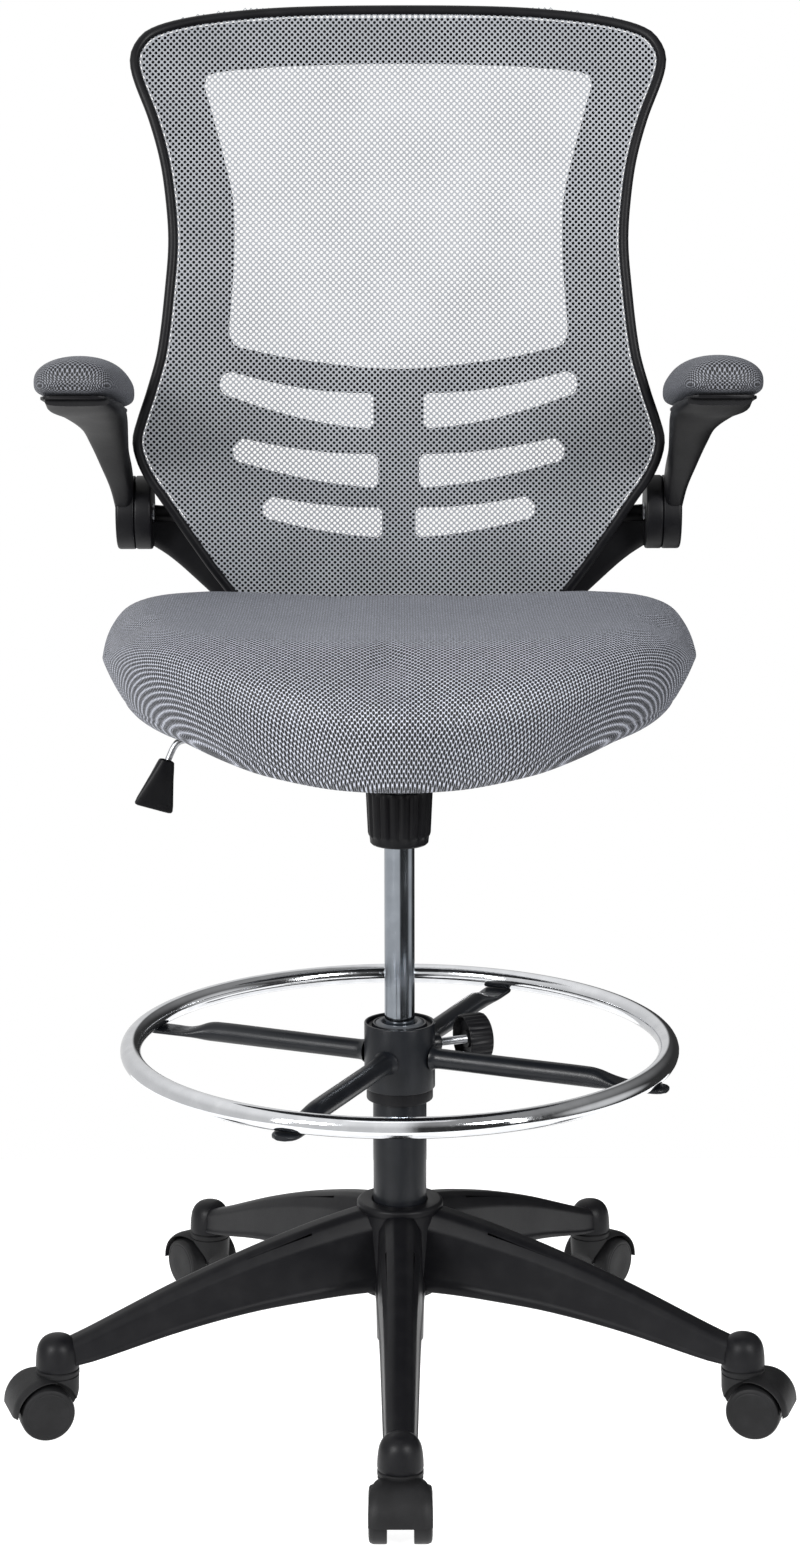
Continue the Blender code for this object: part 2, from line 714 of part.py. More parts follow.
def foot_ring():
    bush = (
        (TUBE_RADIUS + SHAFT_GAP, BUSH_BOTTOM),
        (0.0310, BUSH_BOTTOM),
        (0.0310, COLLAR_BOTTOM - GAP),
        (BUSH_RADIUS, COLLAR_BOTTOM - GAP),
        (BUSH_RADIUS, COLLAR_TOP - 0.003),
        (TUBE_RADIUS + SHAFT_GAP, COLLAR_TOP - 0.003),
    )
    solid("ring_bush", turned(bush, sides=24), "black_nylon", closed=True)
    collar = solid(
        "ring_collar",
        pipe(COLLAR_RADIUS, BUSH_RADIUS + GAP, COLLAR_BOTTOM, COLLAR_TOP, sides=24),
        "black_paint",
        closed=True,
    )
    outward = spin(CLAMP_ANGLE) @ Vector((1.0, 0.0, 0.0))
    clamp = about(Vector((0.0, 0.0, CLAMP_Z)), outward)
    boss = solid(
        "boss", turned(((0.0, 0.0318), (0.0080, 0.0318), (0.0080, 0.0400), (0.0, 0.0400)), clamp, sides=12),
        "black_paint",
    )
    screw_hole = solid(
        "screw_hole", turned(((0.0, 0.026), (0.0044, 0.026), (0.0044, 0.050), (0.0, 0.050)), clamp, sides=12),
        "black_paint",
    )
    cut(join(collar, boss), screw_hole)
    around = []
    for step in range(RING_STEPS):
        angle = 2 * math.pi * step / RING_STEPS
        around.append((RING_RADIUS * math.cos(angle), RING_RADIUS * math.sin(angle), RING_Z))
    solid("foot_ring", swept(around, lambda _: oval(RING_TUBE, RING_TUBE, 8), closed=True), "chrome", closed=True)
    tab_z = RING_Z - RING_TUBE - 0.0003 - 0.0025
    stations = (
        # distance, half width, half height, centre height
        (COLLAR_RADIUS + 0.0006, RING_TUBE, RING_TUBE, SPOKE_Z),
        (0.190, RING_TUBE, RING_TUBE, SPOKE_Z),
        (0.206, 0.0105, 0.0065, SPOKE_Z - 0.0020),
        (0.222, 0.0130, 0.0025, tab_z),
        (0.250, 0.0130, 0.0025, tab_z),
        (0.259, 0.0105, 0.0025, tab_z),
        (0.263, 0.0060, 0.0025, tab_z),
    )
    for number, angle in enumerate(SPOKE_ANGLES, 1):
        path = [spin(angle) @ Vector((distance, 0.0, z)) for distance, _, _, z in stations]
        rings = []
        for (_, half_width, half_height, _), point in zip(stations, path):
            side = spin(angle) @ Vector((0.0, 1.0, 0.0))
            power = 1.0 if half_height > 0.003 else 0.6
            rings.append([
                point + side * a + Vector((0.0, 0.0, b)) for a, b in oval(half_width, half_height, 10, power)
            ])
        solid(f"spoke_{number}", rings, "black_paint")
    centre = clamp @ Vector((0.0, 0.0, CLAMP_INNER))
    screw = ((0.0, BUSH_RADIUS + GAP), (0.004, BUSH_RADIUS + GAP), (0.004, CLAMP_OUTER - 0.008), (0.0, CLAMP_OUTER - 0.008))
    solid("clamp_screw", turned(screw, clamp, sides=12), "zinc_steel", pivot=centre)
    knob = (
        (0.004 + GAP, CLAMP_INNER + 0.004),
        (CLAMP_RADIUS - 0.004, CLAMP_INNER + 0.004),
        (CLAMP_RADIUS - 0.003, CLAMP_INNER),
        (CLAMP_RADIUS, CLAMP_INNER + 0.001),
        (CLAMP_RADIUS, CLAMP_OUTER - 0.003),
        (CLAMP_RADIUS - 0.003, CLAMP_OUTER),
        (0.0, CLAMP_OUTER),
        (0.0, CLAMP_OUTER - 0.007),
        (0.004 + GAP, CLAMP_OUTER - 0.007),
    )
    rings = turned(knob[:7], clamp, sides=24)
    hollow = turned(
        ((0.0, CLAMP_INNER - 0.004), (0.004 + GAP, CLAMP_INNER - 0.004), (0.004 + GAP, CLAMP_OUTER - 0.0075),
         (0.0, CLAMP_OUTER - 0.0075)),
        clamp,
        sides=12,
    )
    cap = [clamp @ Vector((0.0, 0.0, CLAMP_INNER + 0.004))]
    body = solid("clamp_knob", [cap] + rings[1:], "black_nylon", pivot=centre)
    cut(body, solid("hollow", hollow, "black_nylon"))


# ---------------------------------------------------------------- mechanism


def mechanism():
    across = Matrix.Rotation(math.radians(90), 4, "Z") @ Matrix.Rotation(math.radians(90), 4, "X")
    side_view = (
        (HOUSING_FRONT, HOUSING_BOTTOM),
        (HOUSING_REAR, HOUSING_BOTTOM),
        (HOUSING_REAR, HOUSING_BOTTOM + 0.010),
        (SHAFT_Y, HOUSING_TOP),
        (HOUSING_FRONT, HOUSING_TOP),
    )
    housing = prism("mechanism_housing", side_view, -HOUSING_HALF_WIDTH, HOUSING_HALF_WIDTH, across, "black_paint")
    wall = HOUSING_HALF_WIDTH - SHEET
    cavity = box("cavity", (-wall, HOUSING_FRONT + SHEET, HOUSING_BOTTOM + SHEET), (wall, HOUSING_REAR - SHEET, 0.7))
    cut(housing, cavity)
    socket = solid(
        "socket",
        turned(((0.0, 0.594), (0.0175, 0.594), (0.0200, 0.612), (0.0200, CYLINDER_TOP - 0.001),
                (0.0, CYLINDER_TOP - 0.001)), sides=24),
        "black_paint",
    )
    join(housing, socket)
    taper = turned(
        ((0.0, 0.590), (CYLINDER_RADIUS + GAP, 0.590), (CYLINDER_RADIUS + GAP, CYLINDER_TOP - 0.030),
         (CYLINDER_RADIUS - 0.0012 + GAP, CYLINDER_TOP + 0.0005), (0.0, CYLINDER_TOP + 0.0005)),
        sides=24,
    )
    bolt_hole = turned(((0.0, 0.60), (0.0055, 0.60), (0.0055, 0.64), (0.0, 0.64)),
                       about(Vector((0.0, BOLT_Y, 0.0))), sides=12)
    shaft_line = about(Vector((0.0, SHAFT_Y, SHAFT_Z)), (1.0, 0.0, 0.0))
    shaft_hole = ((0.0, -0.080), (SHAFT_RADIUS + GAP, -0.080), (SHAFT_RADIUS + GAP, 0.080), (0.0, 0.080))
    cut(
        housing,
        solid("taper", taper, "black_paint"),
        solid("bolt_hole", bolt_hole, "black_paint"),
        solid("shaft_hole", turned(shaft_hole, shaft_line, sides=16), "black_paint"),
        box("rod_notch", (-0.070, LEVER_Y - 0.0085, 0.6252), (-0.056, LEVER_Y + 0.0085, 0.660)),
    )
    shaft = ((0.0, -0.074), (SHAFT_RADIUS, -0.074), (SHAFT_RADIUS, 0.074), (0.0, 0.074))
    solid("tilt_shaft", turned(shaft, shaft_line, sides=16), "zinc_steel")

    plate = box("tilt_plate", (-0.098, -0.100, PLATE_BOTTOM), (0.098, 0.128, PLATE_TOP), slot="black_paint")
    for side in (-1, 1):
        inner, outer = sorted((side * 0.0660, side * 0.0695))
        flange = box(
            "flange", (inner, SHAFT_Y - 0.014, SHAFT_Z - 0.012), (outer, SHAFT_Y + 0.014, PLATE_BOTTOM + 0.002)
        )
        join(plate, flange)
    shaft_run = ((0.0, -0.080), (SHAFT_RADIUS + SHAFT_GAP, -0.080), (SHAFT_RADIUS + SHAFT_GAP, 0.080), (0.0, 0.080))
    plate_slot = box("bolt_slot", (-0.0065, BOLT_Y - 0.0125, 0.640), (0.0065, BOLT_Y + 0.0060, 0.670))
    cut(
        plate,
        box("opening", (-0.042, -0.018, 0.640), (0.042, 0.060, 0.670)),
        plate_slot,
        solid("shaft_run", turned(shaft_run, shaft_line, sides=16), "black_paint"),
    )
    move_origin(plate, (0.0, SHAFT_Y, SHAFT_Z))

    bolt_line = about(Vector((0.0, BOLT_Y, 0.0)))
    bolt = (
        (0.0, KNOB_BOTTOM + 0.002),
        (BOLT_RADIUS, KNOB_BOTTOM + 0.002),
        (BOLT_RADIUS, PLATE_TOP + 0.0040),
        (0.0090, PLATE_TOP + 0.0040),
        (0.0085, PLATE_TOP + 0.0087),
        (0.0, PLATE_TOP + 0.0092),
    )
    solid("tension_bolt", turned(bolt, bolt_line, sides=16), "zinc_steel", pivot=(0.0, BOLT_Y, PLATE_TOP))
    rings = []
    for radius, z in ((0.0255, KNOB_BOTTOM), (0.0280, KNOB_BOTTOM + 0.003), (KNOB_RADIUS, KNOB_TOP),
                      (0.0262, KNOB_TOP), (0.0250, KNOB_BOTTOM + 0.008)):
        ring = []
        ribbed = z > KNOB_BOTTOM and radius > 0.027
        for step in range(2 * KNOB_RIBS):
            angle = math.pi * step / KNOB_RIBS
            reach = radius - (0.0016 if ribbed and step % 2 else 0.0)
            ring.append(bolt_line @ Vector((reach * math.cos(angle), reach * math.sin(angle), z)))
        rings.append(ring)
    floor = [[bolt_line @ Vector((0.0, 0.0, z))] for z in (KNOB_BOTTOM, KNOB_BOTTOM + 0.008)]
    knob = solid("tension_knob", [floor[0]] + rings + [floor[1]], "black_nylon", pivot=(0.0, BOLT_Y, KNOB_BOTTOM))
    bolt_space = turned(((0.0, KNOB_BOTTOM + 0.0016), (BOLT_RADIUS + GAP, KNOB_BOTTOM + 0.0016),
                         (BOLT_RADIUS + GAP, KNOB_TOP), (0.0, KNOB_TOP)), bolt_line, sides=16)
    cut(knob, solid("bolt_space", bolt_space, "black_nylon"))
    coil = []
    turns, per_turn = 5, 12
    low = KNOB_BOTTOM + 0.0105
    high = HOUSING_BOTTOM - 0.0025
    for step in range(turns * per_turn + 1):
        angle = 2 * math.pi * step / per_turn
        height = low + (high - low) * step / (turns * per_turn)
        coil.append((0.017 * math.cos(angle), BOLT_Y + 0.017 * math.sin(angle), height))
    solid("tension_spring", swept(coil, lambda _: oval(0.0019, 0.0019, 4)), "zinc_steel",
          pivot=(0.0, BOLT_Y, HOUSING_BOTTOM))


def lever():
    fulcrum = Vector((LEVER_FULCRUM_X, LEVER_Y, LEVER_Z))
    slider = box("lever_slider", (-0.057, LEVER_Y - 0.008, 0.6258), (-0.043, LEVER_Y + 0.008, 0.6405),
                 slot="grey_nylon")
    passage = box("passage", (-0.060, LEVER_Y - 0.0034, 0.6298), (-0.040, LEVER_Y + 0.0034, 0.6382))
    cut(slider, passage)
    move_origin(slider, fulcrum)
    path = (
        (0.014, LEVER_Y + 0.005, LEVER_Z),
        (-0.020, LEVER_Y + 0.003, LEVER_Z),
        (-0.040, LEVER_Y, LEVER_Z),
        (-0.066, LEVER_Y, LEVER_Z),
        (-0.120, -0.018, LEVER_Z + 0.0030),
        (-0.180, -0.038, LEVER_Z + 0.0075),
        (-0.195, -0.042, LEVER_Z + 0.0080),
        (-0.2015, -0.0435, LEVER_Z + 0.0045),
        (-0.2095, -0.0450, LEVER_Z - 0.0120),
    )
    rod = solid("lever_rod", swept(path, lambda _: oval(LEVER_RADIUS, LEVER_RADIUS, 8), up=(0.0, 1.0, 0.0)),
                "zinc_steel", pivot=fulcrum)
    top = Vector((-0.2092, -0.0450, 0.6250))
    end = Vector((-0.2220, -0.0530, 0.5810))
    along = (end - top).normalized()
    flat = Vector((0.25, -1.0, 0.0)).normalized()
    broad = along.cross(flat).normalized()
    face = broad.cross(along).normalized()
    rings = []
    for share, half_width, half_depth in ((0.0, 0.0070, 0.0062), (0.12, 0.0085, 0.0062), (0.55, 0.0135, 0.0045),
                                          (0.92, 0.0180, 0.0032), (1.0, 0.0165, 0.0022)):
        centre = top.lerp(end, share)
        rings.append([centre + broad * a + face * b for a, b in oval(half_width, half_depth, 12, 0.6)])
    paddle = solid("lever_paddle", rings, "black_nylon", pivot=fulcrum)
    hole = swept((Vector(path[-2]), Vector(path[-1]) + (Vector(path[-1]) - Vector(path[-2])) * 0.05),
                 lambda _: oval(LEVER_RADIUS + 0.0006, LEVER_RADIUS + 0.0006, 10), up=(0.0, 1.0, 0.0))
    cut(paddle, solid("hole", hole, "black_nylon"))
    return rod


# ---------------------------------------------------------------- seat


def seat_plan(inset_by):
    """The seat's plan as a closed ring of (x, y), moved inward, with points crowded where it turns."""
    half = [(x, y) for y, x in SEAT_PLAN]
    ring = half + [(-x, y) for x, y in reversed(half[1:-1])]
    return [(x, y) for x, y in inset(ring, inset_by)]


def seat_top(x, y):
    crown = blend(((-0.30, 0.722), (-0.24, 0.738), (-0.17, 0.7465), (-0.10, 0.7455), (0.00, 0.739),
                   (0.10, 0.7375), (0.20, 0.7395)), y)
    return crown + 0.004 * (x / SEAT_HALF_WIDTH) ** 2


def toward_front(y):
    """0 over most of the seat, rising to 1 at its front edge."""
    return min(max((-0.135 - y) / (-0.135 - SEAT_FRONT), 0.0), 1.0) ** 1.5


def seat_lip(y):
    """Lower edge of the upholstery: level at the sides and rear, and lower across the front."""
    return LIP_SIDE + (LIP_FRONT - LIP_SIDE) * toward_front(y)


def pan_drop(y):
    return 0.030 * toward_front(y)


def seat():
    pivot = (0.0, SHAFT_Y, SHAFT_Z)
    recess = PAN_INSET - 0.0015
    rings = []
    for inward in (0.120, 0.070, recess):
        rings.append([Vector((x, y, CUSHION_RECESS_Z - pan_drop(y))) for x, y in seat_plan(inward)])
    layers = (
        # inset from the plan, share of the way from the lower edge to the top
        (recess, 0.00),
        (0.0295, 0.03),
        (0.0152, 0.25),
        (0.0060, 0.46),
        (0.0000, 0.70),
        (0.0030, 0.82),
        (0.0120, 0.93),
        (0.0300, 0.99),
        (0.0700, 1.00),
        (0.1200, 1.00),
    )
    for inward, share in layers:
        ring = []
        for x, y in seat_plan(inward):
            low, high = seat_lip(y), seat_top(x, y)
            ring.append(Vector((x, y, low + (high - low) * share)))
        rings.append(ring)
    centre_y = (SEAT_FRONT + SEAT_REAR) / 2
    rings.append([Vector((0.0, centre_y, seat_top(0.0, centre_y)))])
    solid("seat_cushion", rings, "seat_fabric", pivot=pivot, sharp=60)
    pan_rings = []
    for inward, z in ((0.120, PAN_BOTTOM), (0.070, PAN_BOTTOM), (PAN_INSET, PAN_BOTTOM),
                      (PAN_INSET, PAN_BOTTOM + PAN_THICKNESS), (0.070, PAN_BOTTOM + PAN_THICKNESS),
                      (0.120, PAN_BOTTOM + PAN_THICKNESS)):
        pan_rings.append([Vector((x, y, z - pan_drop(y))) for x, y in seat_plan(inward)])
    pan = solid("seat_pan", pan_rings, "black_nylon", pivot=pivot)
    cut(pan, box("bolt_well", (-0.0125, BOLT_Y - 0.0225, 0.640), (0.0125, BOLT_Y + 0.0125, 0.680)))


# ---------------------------------------------------------------- back


def back_y(x, z):
    """The back's front surface: curved like a spine in side view, and wrapping forward at its sides."""
    return blend(BACK_PROFILE, z) - BACK_WRAP * x * x


def back_plate(name, inset_by, front, rear, columns, slot):
    """A curved sheet filling the back's outline, between two distances behind the front surface."""
    outline = inset(mirrored(BACK_OUTLINE), inset_by)
    count = len(BACK_OUTLINE)
    rings = []
    for index in range(1, count - 1):
        half, z = outline[index]
        across = [half * (2 * step / columns - 1) for step in range(columns + 1)]
        ring = [Vector((x, back_y(x, z) + front, z)) for x in across]
        ring += [Vector((x, back_y(x, z) + rear, z)) for x in reversed(across)]
        rings.append(ring)
    return solid(name, rings, slot, pivot=(0.0, SHAFT_Y, SHAFT_Z), sharp=50)


def slot_outline(slot):
    """A slot that is cut square near the middle of the back and sweeps outward to a round end."""
    inner, outer, low, high, end_z, end_half = slot
    steps = 5
    lower, upper = [], []
    for step in range(steps + 1):
        share = step / steps
        x = inner + (outer - end_half - inner) * share
        curve = share**1.8
        centre = (low + high) / 2 + (end_z - (low + high) / 2) * curve
        half = (high - low) / 2 + (end_half - (high - low) / 2) * share
        lower.append((x, centre - half))
        upper.append((x, centre + half))
    tip = []
    for angle in (-60, -30, 0, 30, 60):
        turn = math.radians(angle)
        tip.append((outer - end_half + end_half * math.cos(turn), end_z + end_half * math.sin(turn)))
    return lower + tip + list(reversed(upper))


def back():
    facing = Matrix.Rotation(math.radians(90), 4, "X")
    shell = back_plate("back_shell", SHELL_INSET, 0.004, 0.004 + SHELL_THICKNESS, 8, "black_nylon")
    cutters = [prism("window", mirrored(BACK_WINDOW), -0.40, -0.10, facing)]
    for slot in BACK_SLOTS:
        outline = slot_outline(slot)
        cutters.append(prism("slot_right", outline, -0.40, -0.10, facing))
        cutters.append(prism("slot_left", [(-x, z) for x, z in outline], -0.40, -0.10, facing))
    cut(shell, *cutters)
    back_plate("back_mesh", SHELL_INSET, 0.0, MESH_THICKNESS, 6, "back_fabric")
    middle = inset(mirrored(BACK_OUTLINE), RIM_WIDTH / 2)
    path = [(x, back_y(x, z) + 0.0035, z) for x, z in middle]
    half = RIM_WIDTH / 2
    depth = RIM_DEPTH / 2
    section = [(half, -depth * 0.5), (half * 0.5, -depth), (-half * 0.5, -depth), (-half, -depth * 0.5),
               (-half, depth * 0.5), (-half * 0.5, depth), (half * 0.5, depth), (half, depth * 0.5)]
    rings = swept(path, lambda _: section, up=(0.0, 1.0, 0.0), closed=True)
    solid("back_rim", rings, "black_nylon", closed=True, pivot=(0.0, SHAFT_Y, SHAFT_Z))


def back_support():
    """A yoke: a bar from each arm pivot down behind the seat and forward under it to the tilt plate."""
    half_path = (
        # x, y, z, half the depth in front view, half width
        (0.2480, 0.2380, 0.8020, 0.0165, 0.0120),
        (0.2300, 0.242, 0.7960, 0.0200, 0.0120),
        (0.2080, 0.245, 0.7780, 0.0180, 0.0120),
        (0.1820, 0.246, 0.7530, 0.0170, 0.0120),
        (0.1560, 0.2455, 0.7250, 0.0150, 0.0120),
        (0.1320, 0.2450, 0.6960, 0.0115, 0.0120),
        (0.1150, 0.2300, 0.6680, 0.0085, 0.0120),
        (0.0980, 0.1990, 0.6500, 0.0060, 0.0120),
        (0.0870, 0.1580, 0.6455, 0.0050, 0.0120),
        (0.0850, 0.100, 0.6455, 0.0050, 0.0110),
        (0.0850, 0.040, 0.6455, 0.0050, 0.0110),
    )
    parts = []
    for side in (1, -1):
        path = [Vector((side * x, y, z)) for x, y, z, _, _ in half_path]
        rings = []
        for index, point in enumerate(path):
            before = path[max(index - 1, 0)]
            after = path[min(index + 1, len(path) - 1)]
            along = (after - before).normalized()
            share = min(max((index - 3) / 4, 0.0), 1.0)
            wide = (Vector((0.0, 1.0, 0.0)) * (1 - share) + Vector((side * 1.0, 0.0, 0.0)) * share)
            wide = (wide - along * wide.dot(along)).normalized()
            thick = along.cross(wide)
            half_thin, half_wide = half_path[index][3:]
            rings.append([point + wide * a + thick * b for a, b in oval(half_wide, half_thin, 8, 0.7)])
        parts.append(solid("bar", rings, "black_nylon"))
        knuckle = turned(
            ((0.0, KNUCKLE_INNER), (KNUCKLE_RADIUS - 0.002, KNUCKLE_INNER), (KNUCKLE_RADIUS, KNUCKLE_INNER + 0.002),
             (KNUCKLE_RADIUS, KNUCKLE_OUTER - GAP), (0.0, KNUCKLE_OUTER - GAP)),
            about(Vector((0.0, PIVOT_Y, PIVOT_Z)), (side, 0.0, 0.0)),
            sides=24,
        )
        parts.append(solid("knuckle", knuckle, "black_nylon"))
    crossbar = box("crossbar", (-0.0865, 0.135, 0.6412), (0.0865, 0.165, 0.6498))
    yoke = join(parts[0], *parts[1:], crossbar)
    yoke.name = "back_support"
    holes = []
    for side in (1, -1):
        line = about(Vector((0.0, PIVOT_Y, PIVOT_Z)), (side, 0.0, 0.0))
        hole = turned(((0.0, 0.19), (0.0095, 0.19), (0.0095, KNUCKLE_INNER), (0.0054, KNUCKLE_INNER), (0.0054, 0.30),
                       (0.0, 0.30)), line, sides=20)
        holes.append(solid("hole", hole, "black_nylon"))
    cut(yoke, *holes)
    move_origin(yoke, (0.0, SHAFT_Y, SHAFT_Z))


# ---------------------------------------------------------------- arms


def pad_bottom(y):
    share = (y - PAD_FRONT) / (PAD_REAR - PAD_FRONT)
    return PAD_FRONT_BOTTOM + (PAD_REAR_BOTTOM - PAD_FRONT_BOTTOM) * share


def pad_section(half_wide, low, high):
    """A pad's cross-section: nearly flat below and domed above."""
    waist = low + 0.40 * (high - low)
    lower = oval(half_wide, waist - low, 14, 0.55)
    upper = oval(half_wide, high - waist, 14, 0.85)
    return [(a, waist + b) for a, b in upper[:7] + lower[7:]]


def arm(label, side):
    pivot = (side * KNUCKLE_OUTER, PIVOT_Y, PIVOT_Z)
    line = about(Vector((0.0, PIVOT_Y, PIVOT_Z)), (side, 0.0, 0.0))
    disc = (
        (0.0, KNUCKLE_OUTER),
        (KNUCKLE_RADIUS, KNUCKLE_OUTER),
        (KNUCKLE_RADIUS, ARM_OUTER - 0.003),
        (KNUCKLE_RADIUS - 0.003, ARM_OUTER),
        (0.0, ARM_OUTER),
    )
    stations = (
        # y, z, centre x, half width, half thickness
        (0.226, 0.822, 0.2637, 0.0088, 0.0220),
        (0.196, 0.850, 0.2655, 0.0110, 0.0180),
        (0.160, 0.874, 0.2685, 0.0140, 0.0140),
        (0.118, 0.896, 0.2695, 0.0178, 0.0110),
        (0.076, 0.914, 0.2705, 0.0218, 0.0090),
        (0.030, 0.929, 0.2755, 0.0285, 0.0070),
        (-0.012, 0.9390, 0.2800, 0.0330, 0.0060),
    )
    body = solid(f"arm_{label}", turned(disc, line, sides=24), "black_nylon", pivot=pivot)
    path = [Vector((side * x, y, z)) for y, z, x, _, _ in stations]
    rings = []
    for index, point in enumerate(path):
        before = path[max(index - 1, 0)]
        after = path[min(index + 1, len(path) - 1)]
        along = (after - before).normalized()
        upward = (Vector((1.0, 0.0, 0.0)).cross(along)).normalized()
        half_wide, half_thick = stations[index][3:]
        rings.append([
            point + Vector((side * a, 0.0, 0.0)) + upward * b for a, b in oval(half_wide, half_thick, 10, 0.6)
        ])
    post = solid("post", rings, "black_nylon")
    slope = math.atan2(PAD_FRONT_BOTTOM - PAD_REAR_BOTTOM, PAD_REAR - PAD_FRONT)
    tray_rings = []
    for y, half_wide in ((PAD_FRONT + 0.012, 0.026), (PAD_FRONT + 0.022, 0.030), (PAD_REAR - 0.030, 0.030),
                         (PAD_REAR - 0.012, 0.022)):
        ring = []
        for a, b in ((-1, -0.0060), (1, -0.0060), (1, -GAP), (-1, -GAP)):
            ring.append(Vector((side * (PAD_CENTRE_X + a * half_wide), y, pad_bottom(y) + b)))
        tray_rings.append(ring)
    join(body, post, solid("tray", tray_rings, "black_nylon"))
    hole = turned(((0.0, 0.24), (0.0054, 0.24), (0.0054, ARM_OUTER - 0.0040), (0.0, ARM_OUTER - 0.0040)), line,
                  sides=16)
    cut(body, solid("hole", hole, "black_nylon"))
    move_origin(body, pivot)
    bolt = ((0.0, 0.2365), (0.0085, 0.2365), (0.0085, KNUCKLE_INNER - GAP), (0.0050, KNUCKLE_INNER - GAP),
            (0.0050, ARM_OUTER - 0.0045), (0.0, ARM_OUTER - 0.0045))
    solid(f"arm_pivot_bolt_{label}", turned(bolt, line, sides=16), "zinc_steel",
          pivot=(side * KNUCKLE_INNER, PIVOT_Y, PIVOT_Z))
    pad_rings = []
    normal = Vector((0.0, math.sin(slope), math.cos(slope)))
    for share, half_wide, low, high in (
        (0.00, 0.0200, 0.0090, 0.0210),
        (0.02, 0.0290, 0.0040, 0.0280),
        (0.07, 0.0350, 0.0010, 0.0330),
        (0.16, 0.0385, 0.0000, 0.0365),
        (0.50, PAD_HALF_WIDTH, 0.0000, PAD_THICKNESS),
        (0.84, 0.0385, 0.0000, 0.0365),
        (0.93, 0.0350, 0.0010, 0.0330),
        (0.98, 0.0290, 0.0040, 0.0280),
        (1.00, 0.0200, 0.0090, 0.0210),
    ):
        y = PAD_FRONT + (PAD_REAR - PAD_FRONT) * share
        middle = Vector((side * PAD_CENTRE_X, y, pad_bottom(y)))
        pad_rings.append([
            middle + Vector((side * a, 0.0, 0.0)) + normal * b for a, b in pad_section(half_wide, low, high)
        ])
    solid(f"armpad_{label}", pad_rings, "pad_fabric", pivot=pivot, sharp=60)


def clear_scene():
    for found in list(bpy.data.objects):
        bpy.data.objects.remove(found)


clear_scene()
star_base()
column()
for number, angle in enumerate(LEG_ANGLES, 1):
    caster(number, angle)
foot_ring()
mechanism()
lever()
seat()
back()
back_support()
arm("left", 1)
arm("right", -1)
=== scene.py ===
"""Drafting chair: the detailed visual model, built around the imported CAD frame.

Shapes are laid out about the column axis with heights from the CAD datum, as the CAD lays them out, and
SHIFT moves them into the world frame. +X is the viewer's right, the sitter faces -Y, and lengths are metres.
"""

import math

import bmesh
import bpy
from mathutils import Matrix, Vector


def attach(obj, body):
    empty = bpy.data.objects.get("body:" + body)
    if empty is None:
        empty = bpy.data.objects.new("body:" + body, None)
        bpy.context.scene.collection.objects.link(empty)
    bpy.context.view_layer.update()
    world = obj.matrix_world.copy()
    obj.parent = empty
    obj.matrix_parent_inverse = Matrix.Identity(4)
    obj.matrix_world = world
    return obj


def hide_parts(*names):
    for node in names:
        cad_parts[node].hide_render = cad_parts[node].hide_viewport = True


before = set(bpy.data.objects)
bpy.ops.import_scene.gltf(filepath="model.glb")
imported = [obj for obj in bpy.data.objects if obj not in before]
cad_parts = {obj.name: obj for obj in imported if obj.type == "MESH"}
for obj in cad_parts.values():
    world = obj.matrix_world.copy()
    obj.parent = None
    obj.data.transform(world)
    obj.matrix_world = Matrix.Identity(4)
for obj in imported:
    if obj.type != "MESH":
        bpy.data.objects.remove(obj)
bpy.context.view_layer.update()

SHIFT = Vector((0.0, 0.0292, -0.0065))

LEG_ANGLES = (-90, -18, 54, 126, 198)
STEM_CIRCLE = 0.331
HUB_TOP = 0.194
HUB_BOTTOM = 0.1065
LEG_STATIONS = (
    # distance from the axis, half width, top, bottom
    (0.020, 0.0225, 0.1915, 0.1120),
    (0.036, 0.0222, 0.1895, 0.1120),
    (0.060, 0.0212, 0.1845, 0.1115),
    (0.090, 0.0205, 0.1770, 0.1100),
    (0.150, 0.0180, 0.1590, 0.1045),
    (0.220, 0.0162, 0.1340, 0.0925),
    (0.300, 0.0142, 0.1010, 0.0735),
    (0.325, 0.0135, 0.0915, 0.0700),
)
LEG_WALL = 0.0035
SOCKET_BOTTOM = 0.067
SOCKET_TOP = 0.099
SOCKET_RADIUS = 0.020

TRAIL = 0.015
AXLE_Z = 0.0315
WHEEL_RADIUS = 0.0252
WHEEL_INNER = 0.0115
WHEEL_OUTER = 0.0275
HOOD_RADIUS = 0.032
HOOD_WALL = 0.004
HOOD_TOP = 0.0665
NECK_RADIUS = 0.020
STEM_RADIUS = 0.0055
WEB_HALF = 0.0105
HOOD_ARC = (
    # angle up from the trailing end, half width of the cover there
    (0, 0.0275), (22, 0.0275), (44, 0.0272), (62, 0.0262), (78, 0.0242), (94, 0.0218), (112, 0.0190),
)

TUBE_RADIUS = 0.025
TUBE_TAPER_RADIUS = 0.022
TUBE_BOTTOM = 0.055
TUBE_TOP = 0.366
CYLINDER_RADIUS = 0.014
CYLINDER_BOTTOM = 0.295
CYLINDER_TOP = 0.624
PISTON_ROD_RADIUS = 0.005

RING_Z = 0.344
RING_RADIUS = 0.250
RING_TUBE = 0.0095
COLLAR_RADIUS = 0.033
COLLAR_BOTTOM = 0.3043
COLLAR_TOP = 0.3665
BUSH_BOTTOM = 0.293
BUSH_RADIUS = 0.0302
SPOKE_ANGLES = (-23, 67, 157, 247)
SPOKE_Z = 0.335
CLAMP_ANGLE = 22
CLAMP_Z = 0.342
CLAMP_INNER = 0.063
CLAMP_OUTER = 0.087
CLAMP_RADIUS = 0.0235

BOLT_Y = -0.075
KNOB_BOTTOM = 0.554
KNOB_TOP = 0.605
KNOB_RIBS = 18

LEVER_Y = -0.005
LEVER_Z = 0.634
LEVER_RADIUS = 0.003

